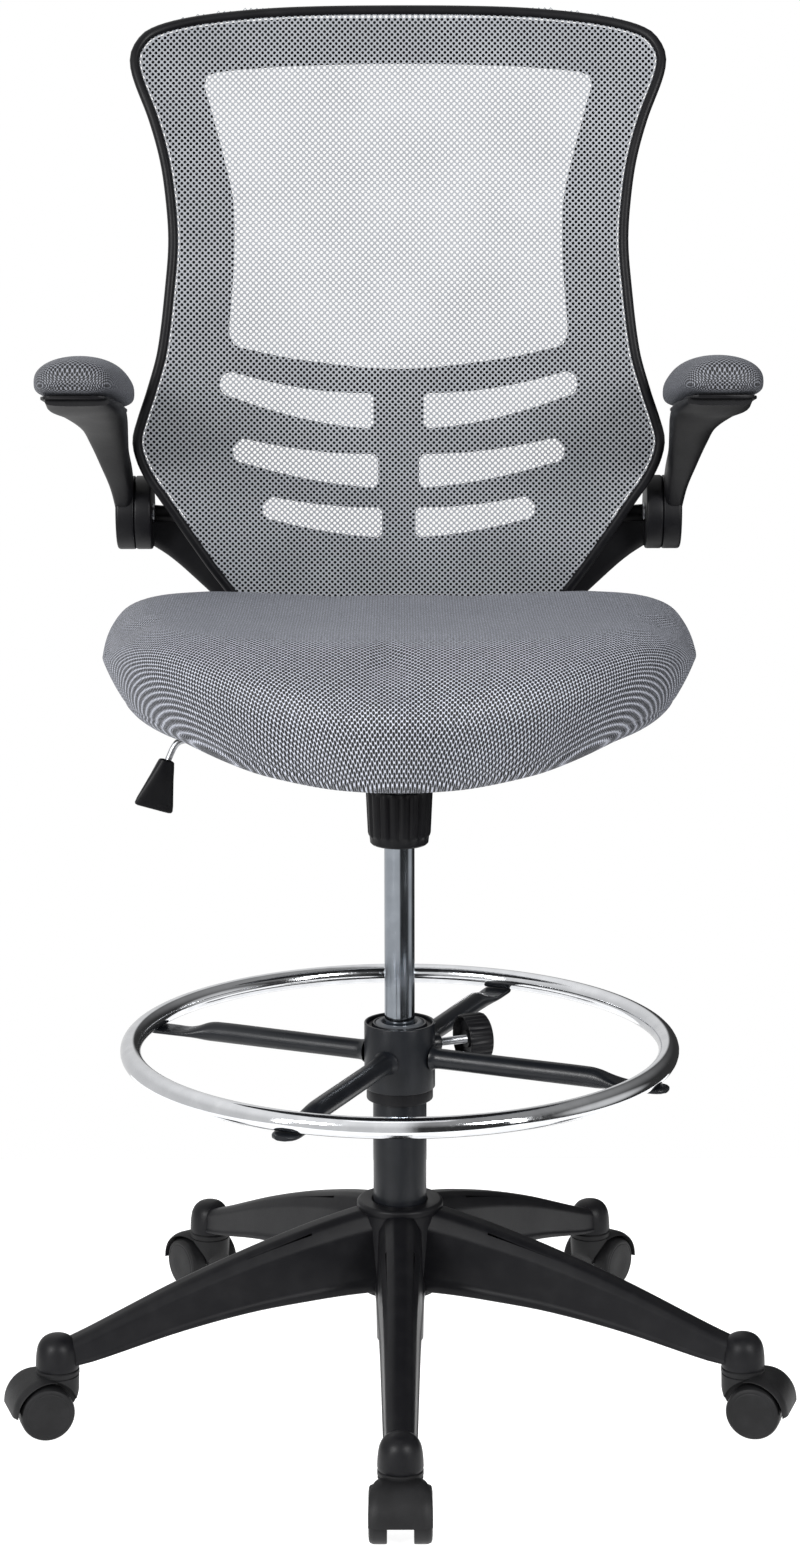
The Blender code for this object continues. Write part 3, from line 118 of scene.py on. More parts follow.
SEAT_FRONT = -0.272
SEAT_REAR = 0.195
SEAT_HALF_WIDTH = 0.271
SEAT_PLAN = (
    # half width of the seat in plan, y
    (0.0, SEAT_FRONT), (0.054, -0.267), (0.095, -0.254), (0.144, -0.228), (0.194, -0.180),
    (0.232, -0.120), (0.258, -0.050), (SEAT_HALF_WIDTH, 0.030), (0.270, 0.110), (0.260, 0.158),
    (0.238, 0.183), (0.205, 0.194), (0.160, SEAT_REAR), (0.0, SEAT_REAR),
)
SEAT_CROWN = (
    # y, height of the seat's top along its middle
    (-0.30, 0.722), (-0.24, 0.738), (-0.17, 0.7465), (-0.10, 0.7455),
    (0.00, 0.739), (0.10, 0.7375), (0.20, 0.7395),
)
SEAT_DISH = 0.004
FRONT_START = -0.135
LIP_SIDE = 0.658
LIP_FRONT = 0.625
RECESS_RISE = 0.030
TOP_INSET = 0.0270
SEAM_SHARE = 0.17
SEAM_DEPTH = 0.0022
RECESS_INSET = 0.0345
RECESS_Z = 0.670

BACK_OUTLINE = (
    (0.000, 0.698), (0.080, 0.699), (0.130, 0.705), (0.156, 0.720), (0.169, 0.738), (0.1835, 0.7586),
    (0.1968, 0.7792), (0.2131, 0.8046), (0.2292, 0.8298), (0.2416, 0.8489), (0.2501, 0.8687),
    (0.2530, 0.8873), (0.2481, 0.9068), (0.2385, 0.9349), (0.2279, 0.9727), (0.2198, 1.0373),
    (0.2174, 1.0739), (0.2200, 1.1117), (0.2256, 1.1477), (0.2363, 1.1849), (0.2510, 1.2223),
    (0.2545, 1.2401), (0.2509, 1.2540), (0.2385, 1.2680), (0.2091, 1.2780), (0.1624, 1.2851),
    (0.1000, 1.2896), (0.000, 1.2910),
)
BACK_PROFILE = (
    # height, distance behind the column axis
    (0.690, 0.226), (0.729, 0.222), (0.800, 0.207), (0.880, 0.197), (0.960, 0.196), (1.040, 0.206),
    (1.120, 0.226), (1.200, 0.252), (1.300, 0.291),
)
BACK_WRAP = 0.266
RIM_WIDTH = 0.0095
RIM_DEPTH = 0.014
SHELL_INSET = 0.0107
BACK_WINDOW = (
    (0.000, 1.2360), (0.090, 1.2345), (0.160, 1.2300), (0.179, 1.2265), (0.1842, 1.2200),
    (0.1795, 1.2010), (0.1670, 1.1560), (0.1567, 1.1112), (0.1552, 1.0656), (0.1575, 1.0250),
    (0.1603, 0.9860), (0.1560, 0.9760), (0.1418, 0.9715), (0.0900, 0.9610), (0.000, 0.9525),
)
BACK_SLOTS = (
    # inner and outer x, low and high at the inner end, centre and half height at the outer end
    (0.0240, 0.1700, 0.8956, 0.9300, 0.9386, 0.0120),
    (0.0196, 0.1584, 0.8383, 0.8715, 0.8748, 0.0120),
    (0.0162, 0.1309, 0.7890, 0.8192, 0.8183, 0.0115),
)
MESH_PITCH = 0.0056
MESH_HOLE = 0.00148
SHELL_BACKSET = 0.004
SHELL_THICKNESS = 0.004

PIVOT_Y = 0.232
PIVOT_Z = 0.8115
KNUCKLE_RADIUS = 0.0355
KNUCKLE_INNER = 0.238
KNUCKLE_OUTER = 0.2545
BOLT_HOLE_RADIUS = 0.0054
ARM_OUTER = 0.272
PAD_CENTRE_X = 0.286
PAD_HALF_WIDTH = 0.040
PAD_FRONT = -0.060
PAD_REAR = 0.190
PAD_FRONT_BOTTOM = 0.955
PAD_REAR_BOTTOM = 0.915
PAD_THICKNESS = 0.041


MOULDED = {
    # material, dark, light, roughness, grain, relief, specular, then metallic and the grain's stretch
    "black_nylon": (
        "satin_black_nylon", (0.0035, 0.0035, 0.0045), (0.008, 0.008, 0.009), 0.42, 900.0, 0.12, 0.16,
    ),
    "caster_nylon": (
        "grained_caster_nylon", (0.006, 0.006, 0.0065), (0.012, 0.012, 0.013), 0.50, 1300.0, 0.25, 0.18,
    ),
    "black_paint": (
        "black_powder_coat", (0.006, 0.007, 0.009), (0.011, 0.012, 0.015), 0.33, 650.0, 0.18, 0.26,
    ),
    "blue_steel": (
        "satin_steel", (0.34, 0.37, 0.41), (0.46, 0.50, 0.55), 0.15, 900.0, 0.04, 0.5, 1.0, (1, 1, 0.04),
    ),
    "chrome": ("bright_chrome", (0.62, 0.63, 0.65), (0.78, 0.79, 0.81), 0.09, 300.0, 0.02, 0.5, 1.0),
    "zinc_steel": ("zinc_plate", (0.42, 0.43, 0.45), (0.60, 0.61, 0.63), 0.34, 800.0, 0.12, 0.5, 1.0),
    "grey_nylon": ("grey_nylon_bush", (0.06, 0.065, 0.072), (0.10, 0.11, 0.12), 0.45, 900.0, 0.12, 0.4),
}
# Painted shade: near-black colour for the fabric's pinholes, which are not cut through the surface.
HOLE_SHADE_COLOUR = (0.003, 0.003, 0.004, 1.0)
HOLE_SHARE = 0.29


# ---------------------------------------------------------------- materials


def add(tree, kind, inputs=(), **settings):
    """A node with settings, and with inputs by name or place, each a constant or a socket to link."""
    made = tree.nodes.new("ShaderNode" + kind)
    for key, value in settings.items():
        setattr(made, key, value)
    for key, value in dict(inputs).items():
        if isinstance(value, bpy.types.NodeSocket):
            tree.links.new(value, made.inputs[key])
        else:
            made.inputs[key].default_value = value
    return made


def math_node(tree, operation, *values):
    return add(tree, "Math", dict(enumerate(values)), operation=operation).outputs[0]


def ranged(tree, value, low, high, to_low, to_high, smooth=False):
    kind = "SMOOTHSTEP" if smooth else "LINEAR"
    inputs = {"Value": value, "From Min": low, "From Max": high, "To Min": to_low, "To Max": to_high}
    return add(tree, "MapRange", inputs, interpolation_type=kind).outputs[0]


def noise(tree, where, scale, detail=2.0):
    return add(tree, "TexNoise", {"Vector": where, "Scale": scale, "Detail": detail}).outputs["Fac"]


def yarn_shade(tree, fine, drift):
    """A factor for the yarn's colour: mostly the fine noise, and partly a slow drift."""
    parts = [ranged(tree, factor, 0.3, 0.7, 0.0, share) for factor, share in ((fine, 0.6), (drift, 0.4))]
    return math_node(tree, "ADD", *parts)


def bumped(tree, surface, height, strength, distance):
    bump = add(tree, "Bump", {"Height": height, "Strength": strength, "Distance": distance})
    tree.links.new(bump.outputs[0], surface.inputs["Normal"])


def blank(name):
    made = bpy.data.materials.new(name)
    made.use_nodes = True
    tree = made.node_tree
    where = add(tree, "TexCoord").outputs["Object"]
    return made, tree, tree.nodes["Principled BSDF"], where


def tinted(tree, factor, dark, light):
    mix = add(tree, "Mix", {0: factor}, data_type="RGBA")
    mix.inputs[6].default_value = (*dark, 1.0)
    mix.inputs[7].default_value = (*light, 1.0)
    return mix.outputs[2]


def moulded(name, dark, light, rough, grain, relief, specular, metallic=0.0, stretch=(1, 1, 1)):
    """Plastic, paint or metal: a colour that drifts slightly, uneven gloss, and a fine grained surface."""
    made, tree, surface, where = blank(name)
    stretched = add(tree, "Mapping", {"Vector": where, "Scale": stretch}).outputs[0]
    drift = noise(tree, where, 14.0, 4.0)
    fine = noise(tree, stretched, grain, 2.0)
    wear = ranged(tree, noise(tree, where, 55.0, 5.0), 0.42, 0.68, 0.0, 1.0)
    colour = tinted(tree, math_node(tree, "MULTIPLY", drift, wear), dark, light)
    tree.links.new(colour, surface.inputs["Base Color"])
    broad = ranged(tree, drift, 0.3, 0.7, rough - 0.05, rough + 0.05)
    local = ranged(tree, fine, 0.3, 0.7, -0.03, 0.03)
    tree.links.new(math_node(tree, "ADD", broad, local), surface.inputs["Roughness"])
    bumped(tree, surface, fine, relief, 0.0004)
    surface.inputs["Specular IOR Level"].default_value = specular
    surface.inputs["Metallic"].default_value = metallic
    return made


def air_mesh(name, dark, light, pitch, stretch):
    """Spacer fabric: staggered pinholes on a smooth knitted face, laid out on the unrolled surface; the
    holes are bumped in and painted near-black as painted shade, not cut through.
    """
    made, tree, surface, where = blank(name)
    spread = add(tree, "UVMap", uv_map="unrolled").outputs[0]
    split = add(tree, "SeparateXYZ", {0: spread})
    across = math_node(tree, "DIVIDE", split.outputs[0], pitch[0])
    along = math_node(tree, "DIVIDE", split.outputs[1], pitch[1])
    nearest = None
    for offset in (0.0, 0.5):
        parts = []
        for value, factor in ((across, 1.0), (along, stretch)):
            place = math_node(tree, "FRACT", math_node(tree, "ADD", value, offset))
            centred = math_node(tree, "MULTIPLY", math_node(tree, "SUBTRACT", place, 0.5), factor)
            parts.append(math_node(tree, "MULTIPLY", centred, centred))
        reach = math_node(tree, "SQRT", math_node(tree, "ADD", *parts))
        nearest = reach if nearest is None else math_node(tree, "MINIMUM", nearest, reach)
    fray = ranged(tree, noise(tree, where, 700.0), 0.3, 0.7, -0.03, 0.03)
    ragged = math_node(tree, "ADD", nearest, fray)
    yarn_over_hole_shade = ranged(tree, ragged, HOLE_SHARE - 0.07, HOLE_SHARE + 0.07, 0.0, 1.0, smooth=True)
    stitch = noise(tree, where, 1500.0, 3.0)
    drift = noise(tree, where, 9.0, 3.0)
    yarn = tinted(tree, yarn_shade(tree, stitch, drift), dark, light)
    # Painted shade: the pinholes take the near-black hole colour in place of the yarn.
    mix = add(tree, "Mix", {0: yarn_over_hole_shade}, data_type="RGBA")
    mix.inputs[6].default_value = HOLE_SHADE_COLOUR
    tree.links.new(yarn, mix.inputs[7])
    tree.links.new(mix.outputs[2], surface.inputs["Base Color"])
    height = math_node(tree, "ADD", yarn_over_hole_shade, math_node(tree, "MULTIPLY", stitch, 0.25))
    bumped(tree, surface, height, 0.55, 0.0005)
    surface.inputs["Roughness"].default_value = 0.62
    surface.inputs["Specular IOR Level"].default_value = 0.45
    surface.inputs["Sheen Weight"].default_value = 0.06
    surface.inputs["Sheen Roughness"].default_value = 0.4
    surface.inputs["Sheen Tint"].default_value = (0.8, 0.86, 1.0, 1.0)
    return made


def yarn_material():
    """The back's knitted net: satin polyester yarn, twisted along its length."""
    made, tree, surface, where = blank("back_yarn")
    twist = noise(tree, where, 1600.0, 3.0)
    drift = noise(tree, where, 12.0, 3.0)
    colour = tinted(tree, yarn_shade(tree, twist, drift), (0.18, 0.19, 0.208), (0.32, 0.333, 0.357))
    tree.links.new(colour, surface.inputs["Base Color"])
    bumped(tree, surface, twist, 0.4, 0.0003)
    surface.inputs["Roughness"].default_value = 0.5
    surface.inputs["Specular IOR Level"].default_value = 0.5
    surface.inputs["Sheen Weight"].default_value = 0.2
    return made


def make_finishes():
    made = {slot: moulded(*look) for slot, look in MOULDED.items()}
    for slot, name, dark, light, pitch, stretch in (
        ("seat_fabric", "seat_air_mesh", (0.42, 0.437, 0.50), (0.66, 0.685, 0.775), (0.0050, 0.0058), 0.72),
        ("pad_fabric", "pad_air_mesh", (0.15, 0.155, 0.175), (0.26, 0.27, 0.305), (0.0044, 0.0048), 0.80),
    ):
        made[slot] = air_mesh(name, dark, light, pitch, stretch)
    made["back_fabric"] = yarn_material()
    return made


# ---------------------------------------------------------------- shapes


def skin(rings, closed=False):
    """Points and faces of a tube through rings of points. A lone point is a pole. Open ends are capped."""
    points = []
    starts = []
    for ring in rings:
        starts.append(len(points))
        points.extend(ring)
    faces = []
    pairs = list(zip(range(len(rings)), range(1, len(rings))))
    if closed:
        pairs.append((len(rings) - 1, 0))
    for low, high in pairs:
        count = max(len(rings[low]), len(rings[high]))
        for step in range(count):
            after = (step + 1) % count
            corners = []
            for ring, places in ((low, (step, after)), (high, (after, step))):
                if len(rings[ring]) == 1:
                    corners.append(starts[ring])
                else:
                    corners.extend(starts[ring] + place for place in places)
            faces.append(corners)
    if not closed:
        for ring in (0, len(rings) - 1):
            if len(rings[ring]) > 1:
                faces.append([starts[ring] + place for place in range(len(rings[ring]))])
    return points, faces


def link(name, points, faces, sharp=35):
    mesh = bpy.data.meshes.new(name)
    mesh.from_pydata([Vector(point) + SHIFT for point in points], [], faces)
    body = bmesh.new()
    body.from_mesh(mesh)
    bmesh.ops.recalc_face_normals(body, faces=body.faces)
    body.to_mesh(mesh)
    body.free()
    mesh.shade_smooth()
    mesh.set_sharp_from_angle(angle=math.radians(sharp))
    made = bpy.data.objects.new(name, mesh)
    bpy.context.scene.collection.objects.link(made)
    return made


def solid(name, rings, closed=False, sharp=35):
    return link(name, *skin(rings, closed), sharp)


def combine(target, tools, operation, sharp=35):
    for tool in tools:
        step = target.modifiers.new("step", "BOOLEAN")
        step.object = tool
        step.operation = operation
        step.solver = "EXACT"
        graph = bpy.context.evaluated_depsgraph_get()
        result = bpy.data.meshes.new_from_object(target.evaluated_get(graph))
        target.modifiers.clear()
        target.data = result
        bpy.data.objects.remove(tool)
    target.data.shade_smooth()
    target.data.set_sharp_from_angle(angle=math.radians(sharp))
    return target


def join(target, *tools):
    return combine(target, tools, "UNION")


def cut(target, *tools):
    return combine(target, tools, "DIFFERENCE")


def fit(made, body, slot, *stands_for):
    """Gives a finished piece its material, and its place in the frame."""
    made.data.materials.clear()
    made.data.materials.append(FINISHES[slot])
    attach(made, body)
    if stands_for:
        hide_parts(*stands_for)
    return made


def about(origin, axis=(0.0, 0.0, 1.0), turn=0.0):
    """Matrix that takes local +Z to the axis at the origin."""
    aim = Vector(axis).normalized().to_track_quat("Z", "Y").to_matrix().to_4x4()
    return Matrix.Translation(origin) @ aim @ Matrix.Rotation(math.radians(turn), 4, "Z")


def spin(angle):
    return Matrix.Rotation(math.radians(angle), 4, "Z")


def turned(profile, place=None, sides=72):
    """Rings of a lathe profile of (radius, height) pairs about local +Z."""
    place = place or Matrix()
    rings = []
    for radius, height in profile:
        if radius == 0:
            rings.append([place @ Vector((0.0, 0.0, height))])
            continue
        ring = []
        for step in range(sides):
            angle = 2 * math.pi * step / sides
            ring.append(place @ Vector((radius * math.cos(angle), radius * math.sin(angle), height)))
        rings.append(ring)
    return rings


def lathe(name, profile, place=None, sides=72, closed=False, sharp=35):
    return solid(name, turned(profile, place, sides), closed, sharp)


def hollow(name, profile, reach, steps=3):
    """A turned piece with a bore, from a closed profile whose corners are softened."""
    return lathe(name, softened(profile, reach, steps, closed=True), sides=96, closed=True)


def rod(radius, low, high, place=None, sides=24):
    """A plain cylinder about local +Z, to add or to cut away."""
    return lathe("rod", ((0.0, low), (radius, low), (radius, high), (0.0, high)), place, sides)


def softened(corners, reach, steps=4, closed=False):
    """A polyline with its corners rounded off over a distance."""
    line = []
    last = len(corners) - 1
    for index, corner in enumerate(corners):
        here = Vector(corner)
        if not closed and index in (0, last):
            line.append(tuple(here))
            continue
        before = Vector(corners[index - 1])
        after = Vector(corners[(index + 1) % len(corners)])
        start = here + (before - here) * min(reach / (before - here).length, 0.45)
        end = here + (after - here) * min(reach / (after - here).length, 0.45)
        for step in range(steps + 1):
            t = step / steps
            line.append(tuple(start * (1 - t) ** 2 + here * (2 * t * (1 - t)) + end * t**2))
    return line


def hermite(start, slope0, end, slope1, t):
    return (
        start * (2 * t**3 - 3 * t**2 + 1)
        + slope0 * (t**3 - 2 * t**2 + t)
        + end * (3 * t**2 - 2 * t**3)
        + slope1 * (t**3 - t**2)
    )


def spline(rows, count, closed=False, keys=2):
    """Rows evenly spaced along a smooth line through rows whose first numbers (keys) give the distances."""
    rows = [Vector(row) if not isinstance(row, Vector) else row for row in rows]
    path = rows + [rows[0]] if closed else rows
    marks = [0.0]
    for low, high in zip(path, path[1:]):
        marks.append(marks[-1] + math.dist(high[:keys], low[:keys]))
    total = marks[-1]
    line = []
    for step in range(count):
        key = total * step / (count if closed else count - 1)
        index = 0
        while index < len(path) - 2 and key > marks[index + 1]:
            index += 1
        span = marks[index + 1] - marks[index]
        t = (key - marks[index]) / span
        start, end = path[index], path[index + 1]
        if index > 0:
            before, before_mark = path[index - 1], marks[index - 1]
        elif closed:
            before, before_mark = path[-2], marks[-2] - total
        else:
            before, before_mark = start, marks[0]
        if index + 2 < len(path):
            after, after_mark = path[index + 2], marks[index + 2]
        elif closed:
            after, after_mark = path[1], total + marks[1]
        else:
            after, after_mark = end, total
        slope0 = (end - before) * (span / (marks[index + 1] - before_mark))
        slope1 = (after - start) * (span / (after_mark - marks[index]))
        line.append(hermite(start, slope0, end, slope1, t))
    return line


def blend(table, value):
    """Piecewise-cubic value of a table of (key, value) pairs at a key."""
    for index in range(len(table) - 1):
        (x0, y0), (x1, y1) = table[index], table[index + 1]
        if value <= x1 or index == len(table) - 2:
            break
    before = table[max(index - 1, 0)]
    after = table[min(index + 2, len(table) - 1)]
    span = x1 - x0
    slope0 = (y1 - before[1]) / (x1 - before[0]) * span
    slope1 = (after[1] - y0) / (after[0] - x0) * span
    t = (value - x0) / span
    return hermite(y0, slope0, y1, slope1, t)


def oval(half_width, half_height, sides=24, power=1.0):
    """A superellipse: power 1 is an ellipse, and smaller values are squarer."""
    outline = []
    for step in range(sides):
        angle = 2 * math.pi * (step + 0.5) / sides
        across = math.copysign(abs(math.cos(angle)) ** power, math.cos(angle))
        upward = math.copysign(abs(math.sin(angle)) ** power, math.sin(angle))
        outline.append((half_width * across, half_height * upward))
    return outline


def swept(path, section, up=(0.0, 0.0, 1.0), closed=False):
    """Rings of a section carried along a path. section(index) gives (sideways, upward) pairs."""
    rings = []
    last = len(path) - 1
    for index, point in enumerate(path):
        before = path[index - 1] if closed or index > 0 else point
        after = path[(index + 1) % len(path)] if closed or index < last else point
        along = (Vector(after) - Vector(before)).normalized()
        side = along.cross(Vector(up)).normalized()
        lift = side.cross(along)
        rings.append([Vector(point) + side * a + lift * b for a, b in section(index)])
    return rings


def arc(x, z, radius, degrees):
    turns = [math.radians(angle) for angle in degrees]
    return [(x + radius * math.cos(turn), z + radius * math.sin(turn)) for turn in turns]


def prism(name, outline, low, high, place):
    return solid(name, [[place @ Vector((x, y, z)) for x, y in outline] for z in (low, high)])


def mirrored(half):
    """A closed outline from its right half, which runs from the bottom centre to the top centre."""
    return list(half) + [(-x, z) for x, z in reversed(half[1:-1])]


def inset(outline, distance):
    """A closed outline, given anticlockwise, moved inward by a distance."""
    moved = []
    for index, (x, z) in enumerate(outline):
        before = Vector(outline[index - 1])
        after = Vector(outline[(index + 1) % len(outline)])
        along = (after - before).normalized()
        moved.append((x - along.y * distance, z + along.x * distance))
    return moved


# ---------------------------------------------------------------- base


def leg_section(half_width, top, bottom):
    """A leg's cross-section: a skirt along each lower edge, upright sides and a rounded-off top."""
    height = top - bottom
    skirt = half_width * 1.06
    corners = (
        (-skirt, bottom), (skirt, bottom), (skirt, bottom + 0.10 * height),
        (half_width * 0.97, bottom + 0.16 * height), (half_width * 0.90, top - 0.22 * height),
        (half_width * 0.62, top - 0.05 * height), (half_width * 0.30, top), (-half_width * 0.30, top),
        (-half_width * 0.62, top - 0.05 * height), (-half_width * 0.90, top - 0.22 * height),
        (-half_width * 0.97, bottom + 0.16 * height), (-skirt, bottom + 0.10 * height),
    )
    return softened(corners, 0.0022, 3, closed=True)


def star_base():
    hub_profile = (
        (0.0255, HUB_BOTTOM), (0.036, HUB_BOTTOM), (0.0388, HUB_TOP - 0.030),
        (0.0392, HUB_TOP - 0.0085), (0.0405, HUB_TOP - 0.0065), (0.0405, HUB_TOP - 0.002),
        (0.0385, HUB_TOP), (0.0262, HUB_TOP), (0.0253, HUB_TOP - 0.002),
        (0.0253, HUB_BOTTOM + 0.001),
    )
    hub = hollow("base_moulding", hub_profile, 0.0012)
    legs = []
    for angle in LEG_ANGLES:
        place = spin(angle)
        rings = []
        for row in spline(LEG_STATIONS, 26, keys=1):
            rings.append([place @ Vector((row[0], y, z)) for y, z in leg_section(row[1], row[2], row[3])])
        leg = solid("leg", rings)
        pocket = []
        for distance, half_width, top, bottom in LEG_STATIONS[3:7]:
            wide, high, low = half_width - LEG_WALL, top - LEG_WALL, bottom - 0.02
            corners = ((-wide, low), (wide, low), (wide * 0.8, high), (-wide * 0.8, high))
            pocket.append([place @ Vector((distance, y, z)) for y, z in corners])
        cut(leg, solid("pocket", pocket))
        seat = place @ Matrix.Translation((STEM_CIRCLE, 0.0, 0.0))
        cap = (
            (0.0, SOCKET_BOTTOM), (SOCKET_RADIUS - 0.0008, SOCKET_BOTTOM),
            (SOCKET_RADIUS, SOCKET_BOTTOM + 0.0008), (SOCKET_RADIUS, SOCKET_BOTTOM + 0.004),
            (SOCKET_RADIUS - 0.0003, SOCKET_BOTTOM + 0.010),
            (SOCKET_RADIUS - 0.0010, SOCKET_BOTTOM + 0.016),
            (SOCKET_RADIUS - 0.0022, SOCKET_BOTTOM + 0.0212),
            (SOCKET_RADIUS - 0.0045, SOCKET_BOTTOM + 0.0256),
            (SOCKET_RADIUS - 0.0080, SOCKET_BOTTOM + 0.0291),
            (SOCKET_RADIUS - 0.0130, SOCKET_BOTTOM + 0.0312), (0.0, SOCKET_TOP),
        )
        join(leg, lathe("socket", spline(cap, 30), seat, 56))
        cut(leg, rod(STEM_RADIUS + 0.0003, 0.05, SOCKET_TOP - 0.0055, seat))
        legs.append(leg)
    join(hub, *legs)
    cut(hub, rod(TUBE_RADIUS + 0.0002, 0.08, 0.22, sides=96))
    fit(hub, "base", "black_nylon", "star_base")


def column():
    tube = (
        (PISTON_ROD_RADIUS + 0.0004, TUBE_BOTTOM), (TUBE_TAPER_RADIUS, TUBE_BOTTOM),
        (TUBE_RADIUS, HUB_TOP), (TUBE_RADIUS, TUBE_TOP), (TUBE_RADIUS - 0.002, TUBE_TOP),
        (TUBE_RADIUS - 0.002, HUB_TOP), (TUBE_TAPER_RADIUS - 0.002, TUBE_BOTTOM + 0.003),
        (PISTON_ROD_RADIUS + 0.0004, TUBE_BOTTOM + 0.003),
    )
    fit(hollow("outer_tube", tube, 0.0006, 2), "base", "black_paint", "column_tube")
    bore = CYLINDER_RADIUS + 0.0004
    bush = (
        (0.0227, CYLINDER_BOTTOM - 0.012), (0.0227, TUBE_TOP - 0.0005), (0.0205, TUBE_TOP + 0.0010),
        (0.0170, TUBE_TOP + 0.0010), (bore, TUBE_TOP - 0.0026), (bore, CYLINDER_BOTTOM - 0.012),
    )
    fit(hollow("column_bush", bush, 0.0006), "base", "grey_nylon", "guide_bush")
    cylinder = (
        (PISTON_ROD_RADIUS + 0.0004, CYLINDER_BOTTOM), (CYLINDER_RADIUS - 0.0012, CYLINDER_BOTTOM),
        (CYLINDER_RADIUS, CYLINDER_BOTTOM + 0.003), (CYLINDER_RADIUS, CYLINDER_TOP - 0.030),
        (CYLINDER_RADIUS - 0.0012, CYLINDER_TOP), (0.0046, CYLINDER_TOP),
        (0.0046, CYLINDER_TOP - 0.010), (0.0, CYLINDER_TOP - 0.010),
    )
    cavity = [(0.0, CYLINDER_BOTTOM + 0.010), (PISTON_ROD_RADIUS + 0.0004, CYLINDER_BOTTOM + 0.010)]
    profile = cavity + softened(cylinder, 0.0008, 3)
    fit(lathe("lift_cylinder", profile, sides=96), "lift", "blue_steel", "gas_cylinder")


# ---------------------------------------------------------------- casters


def hood_shape():
    """One caster's cover, neck and web, standing at the origin and trailing towards +X."""
    side_view = Matrix.Rotation(math.radians(90), 4, "X")
    axle = side_view @ Matrix.Translation((TRAIL, AXLE_Z, 0.0))
    neck = (
        (0.0, AXLE_Z + 0.003), (NECK_RADIUS - 0.0010, AXLE_Z + 0.003),
        (NECK_RADIUS - 0.0003, HOOD_TOP - 0.008), (NECK_RADIUS - 0.0003, HOOD_TOP - 0.0062),
        (NECK_RADIUS - 0.0012, HOOD_TOP - 0.0058), (NECK_RADIUS - 0.0012, HOOD_TOP - 0.0050),
        (NECK_RADIUS, HOOD_TOP - 0.0046), (NECK_RADIUS, HOOD_TOP - 0.0012),
        (NECK_RADIUS - 0.0012, HOOD_TOP), (0.0, HOOD_TOP),
    )
    hood = lathe("hood_shape", neck)
    slope = (
        (-0.030, AXLE_Z + 0.023), (-0.0195, AXLE_Z + 0.017), (-0.0120, AXLE_Z + 0.0035),
        (0.030, AXLE_Z + 0.0035), (0.030, AXLE_Z - 0.010), (-0.030, AXLE_Z - 0.010),
    )
    cut(hood, prism("slope", slope, -0.030, 0.030, side_view))
    for side in (-1, 1):
        low, high = sorted((side * (WEB_HALF + 0.0004), side * 0.030))
        cut(hood, rod(HOOD_RADIUS - 0.0018, low, high, axle, 64))
    cover = []
    for angle, half in spline(HOOD_ARC, 34, keys=1):
        turn = math.radians(angle)
        inner = HOOD_RADIUS - HOOD_WALL
        corners = (
            (inner, -half), (inner + 0.0012, -half), (HOOD_RADIUS, -half + 0.0065),
            (HOOD_RADIUS, half - 0.0065), (inner + 0.0012, half), (inner, half),
        )
        ring = []
        for radius, offset in softened(corners, 0.0034, 5, closed=True):
            x, z = TRAIL + radius * math.cos(turn), AXLE_Z + radius * math.sin(turn)
            ring.append(side_view @ Vector((x, z, offset)))
        cover.append(ring)
    outline = arc(TRAIL, AXLE_Z, HOOD_RADIUS - 0.0015, range(0, 126, 5))
    outline += [(-NECK_RADIUS + 0.004, AXLE_Z + 0.018), (-NECK_RADIUS + 0.007, AXLE_Z + 0.006)]
    outline += arc(TRAIL, AXLE_Z, 0.009, range(210, 331, 12))
    web = prism("web", outline, -WEB_HALF, WEB_HALF, side_view)
    join(hood, solid("cover", cover), web, rod(0.003, -0.0225, 0.0225, axle))
    return cut(hood, rod(STEM_RADIUS + 0.0003, 0.0457, 0.080))


def wheel_shape():
    """One caster wheel about local +Z, with its outer face up: a dished hub cap inside a rounded tread."""
    profile = (
        (0.0034, WHEEL_OUTER - 0.0030), (0.0034, WHEEL_INNER), (0.0100, WHEEL_INNER),
        (0.0110, WHEEL_INNER + 0.0010), (0.0225, WHEEL_INNER + 0.0010), (0.0235, WHEEL_INNER),
        (WHEEL_RADIUS - 0.0006, WHEEL_INNER), (WHEEL_RADIUS, WHEEL_INNER + 0.0006),
        (WHEEL_RADIUS, WHEEL_OUTER - 0.0042), (WHEEL_RADIUS - 0.0012, WHEEL_OUTER - 0.0012),
        (WHEEL_RADIUS - 0.0040, WHEEL_OUTER - 0.0002), (WHEEL_RADIUS - 0.0050, WHEEL_OUTER - 0.0006),
        (WHEEL_RADIUS - 0.0058, WHEEL_OUTER - 0.0001), (0.0120, WHEEL_OUTER),
        (0.0040, WHEEL_OUTER - 0.0003), (0.0, WHEEL_OUTER - 0.0004),
    )
    return lathe("wheel_shape", [(0.0, WHEEL_OUTER - 0.0030)] + softened(profile, 0.0005, 2), sides=64)


def copied(shape, name, place):
    made = bpy.data.objects.new(name, shape.data.copy())
    made.data.transform(place)
    bpy.context.scene.collection.objects.link(made)
    return made


def casters():
    hood = hood_shape()
    wheel = wheel_shape()
    for shape in (hood, wheel):
        shape.data.transform(Matrix.Translation(-SHIFT))
    side_view = Matrix.Rotation(math.radians(90), 4, "X")
    for number, angle in enumerate(LEG_ANGLES, 1):
        stand = Matrix.Translation(SHIFT) @ spin(angle) @ Matrix.Translation((STEM_CIRCLE, 0.0, 0.0))
        axle = stand @ side_view @ Matrix.Translation((TRAIL, AXLE_Z, 0.0))
        cover = copied(hood, f"caster_cover_{number}", stand)
        fit(cover, f"caster_{number}", "caster_nylon", f"caster_hood_{number}")
        for label, turn in (("left", 0), ("right", 180)):
            facing = axle @ Matrix.Rotation(math.radians(turn), 4, "X")
            rolling = copied(wheel, f"caster_wheel_{label}_{number}", facing)
            fit(rolling, f"wheel_{label}_{number}", "caster_nylon", f"wheel_{label}_{number}")
    for shape in (hood, wheel):
        bpy.data.objects.remove(shape)


# ---------------------------------------------------------------- foot ring


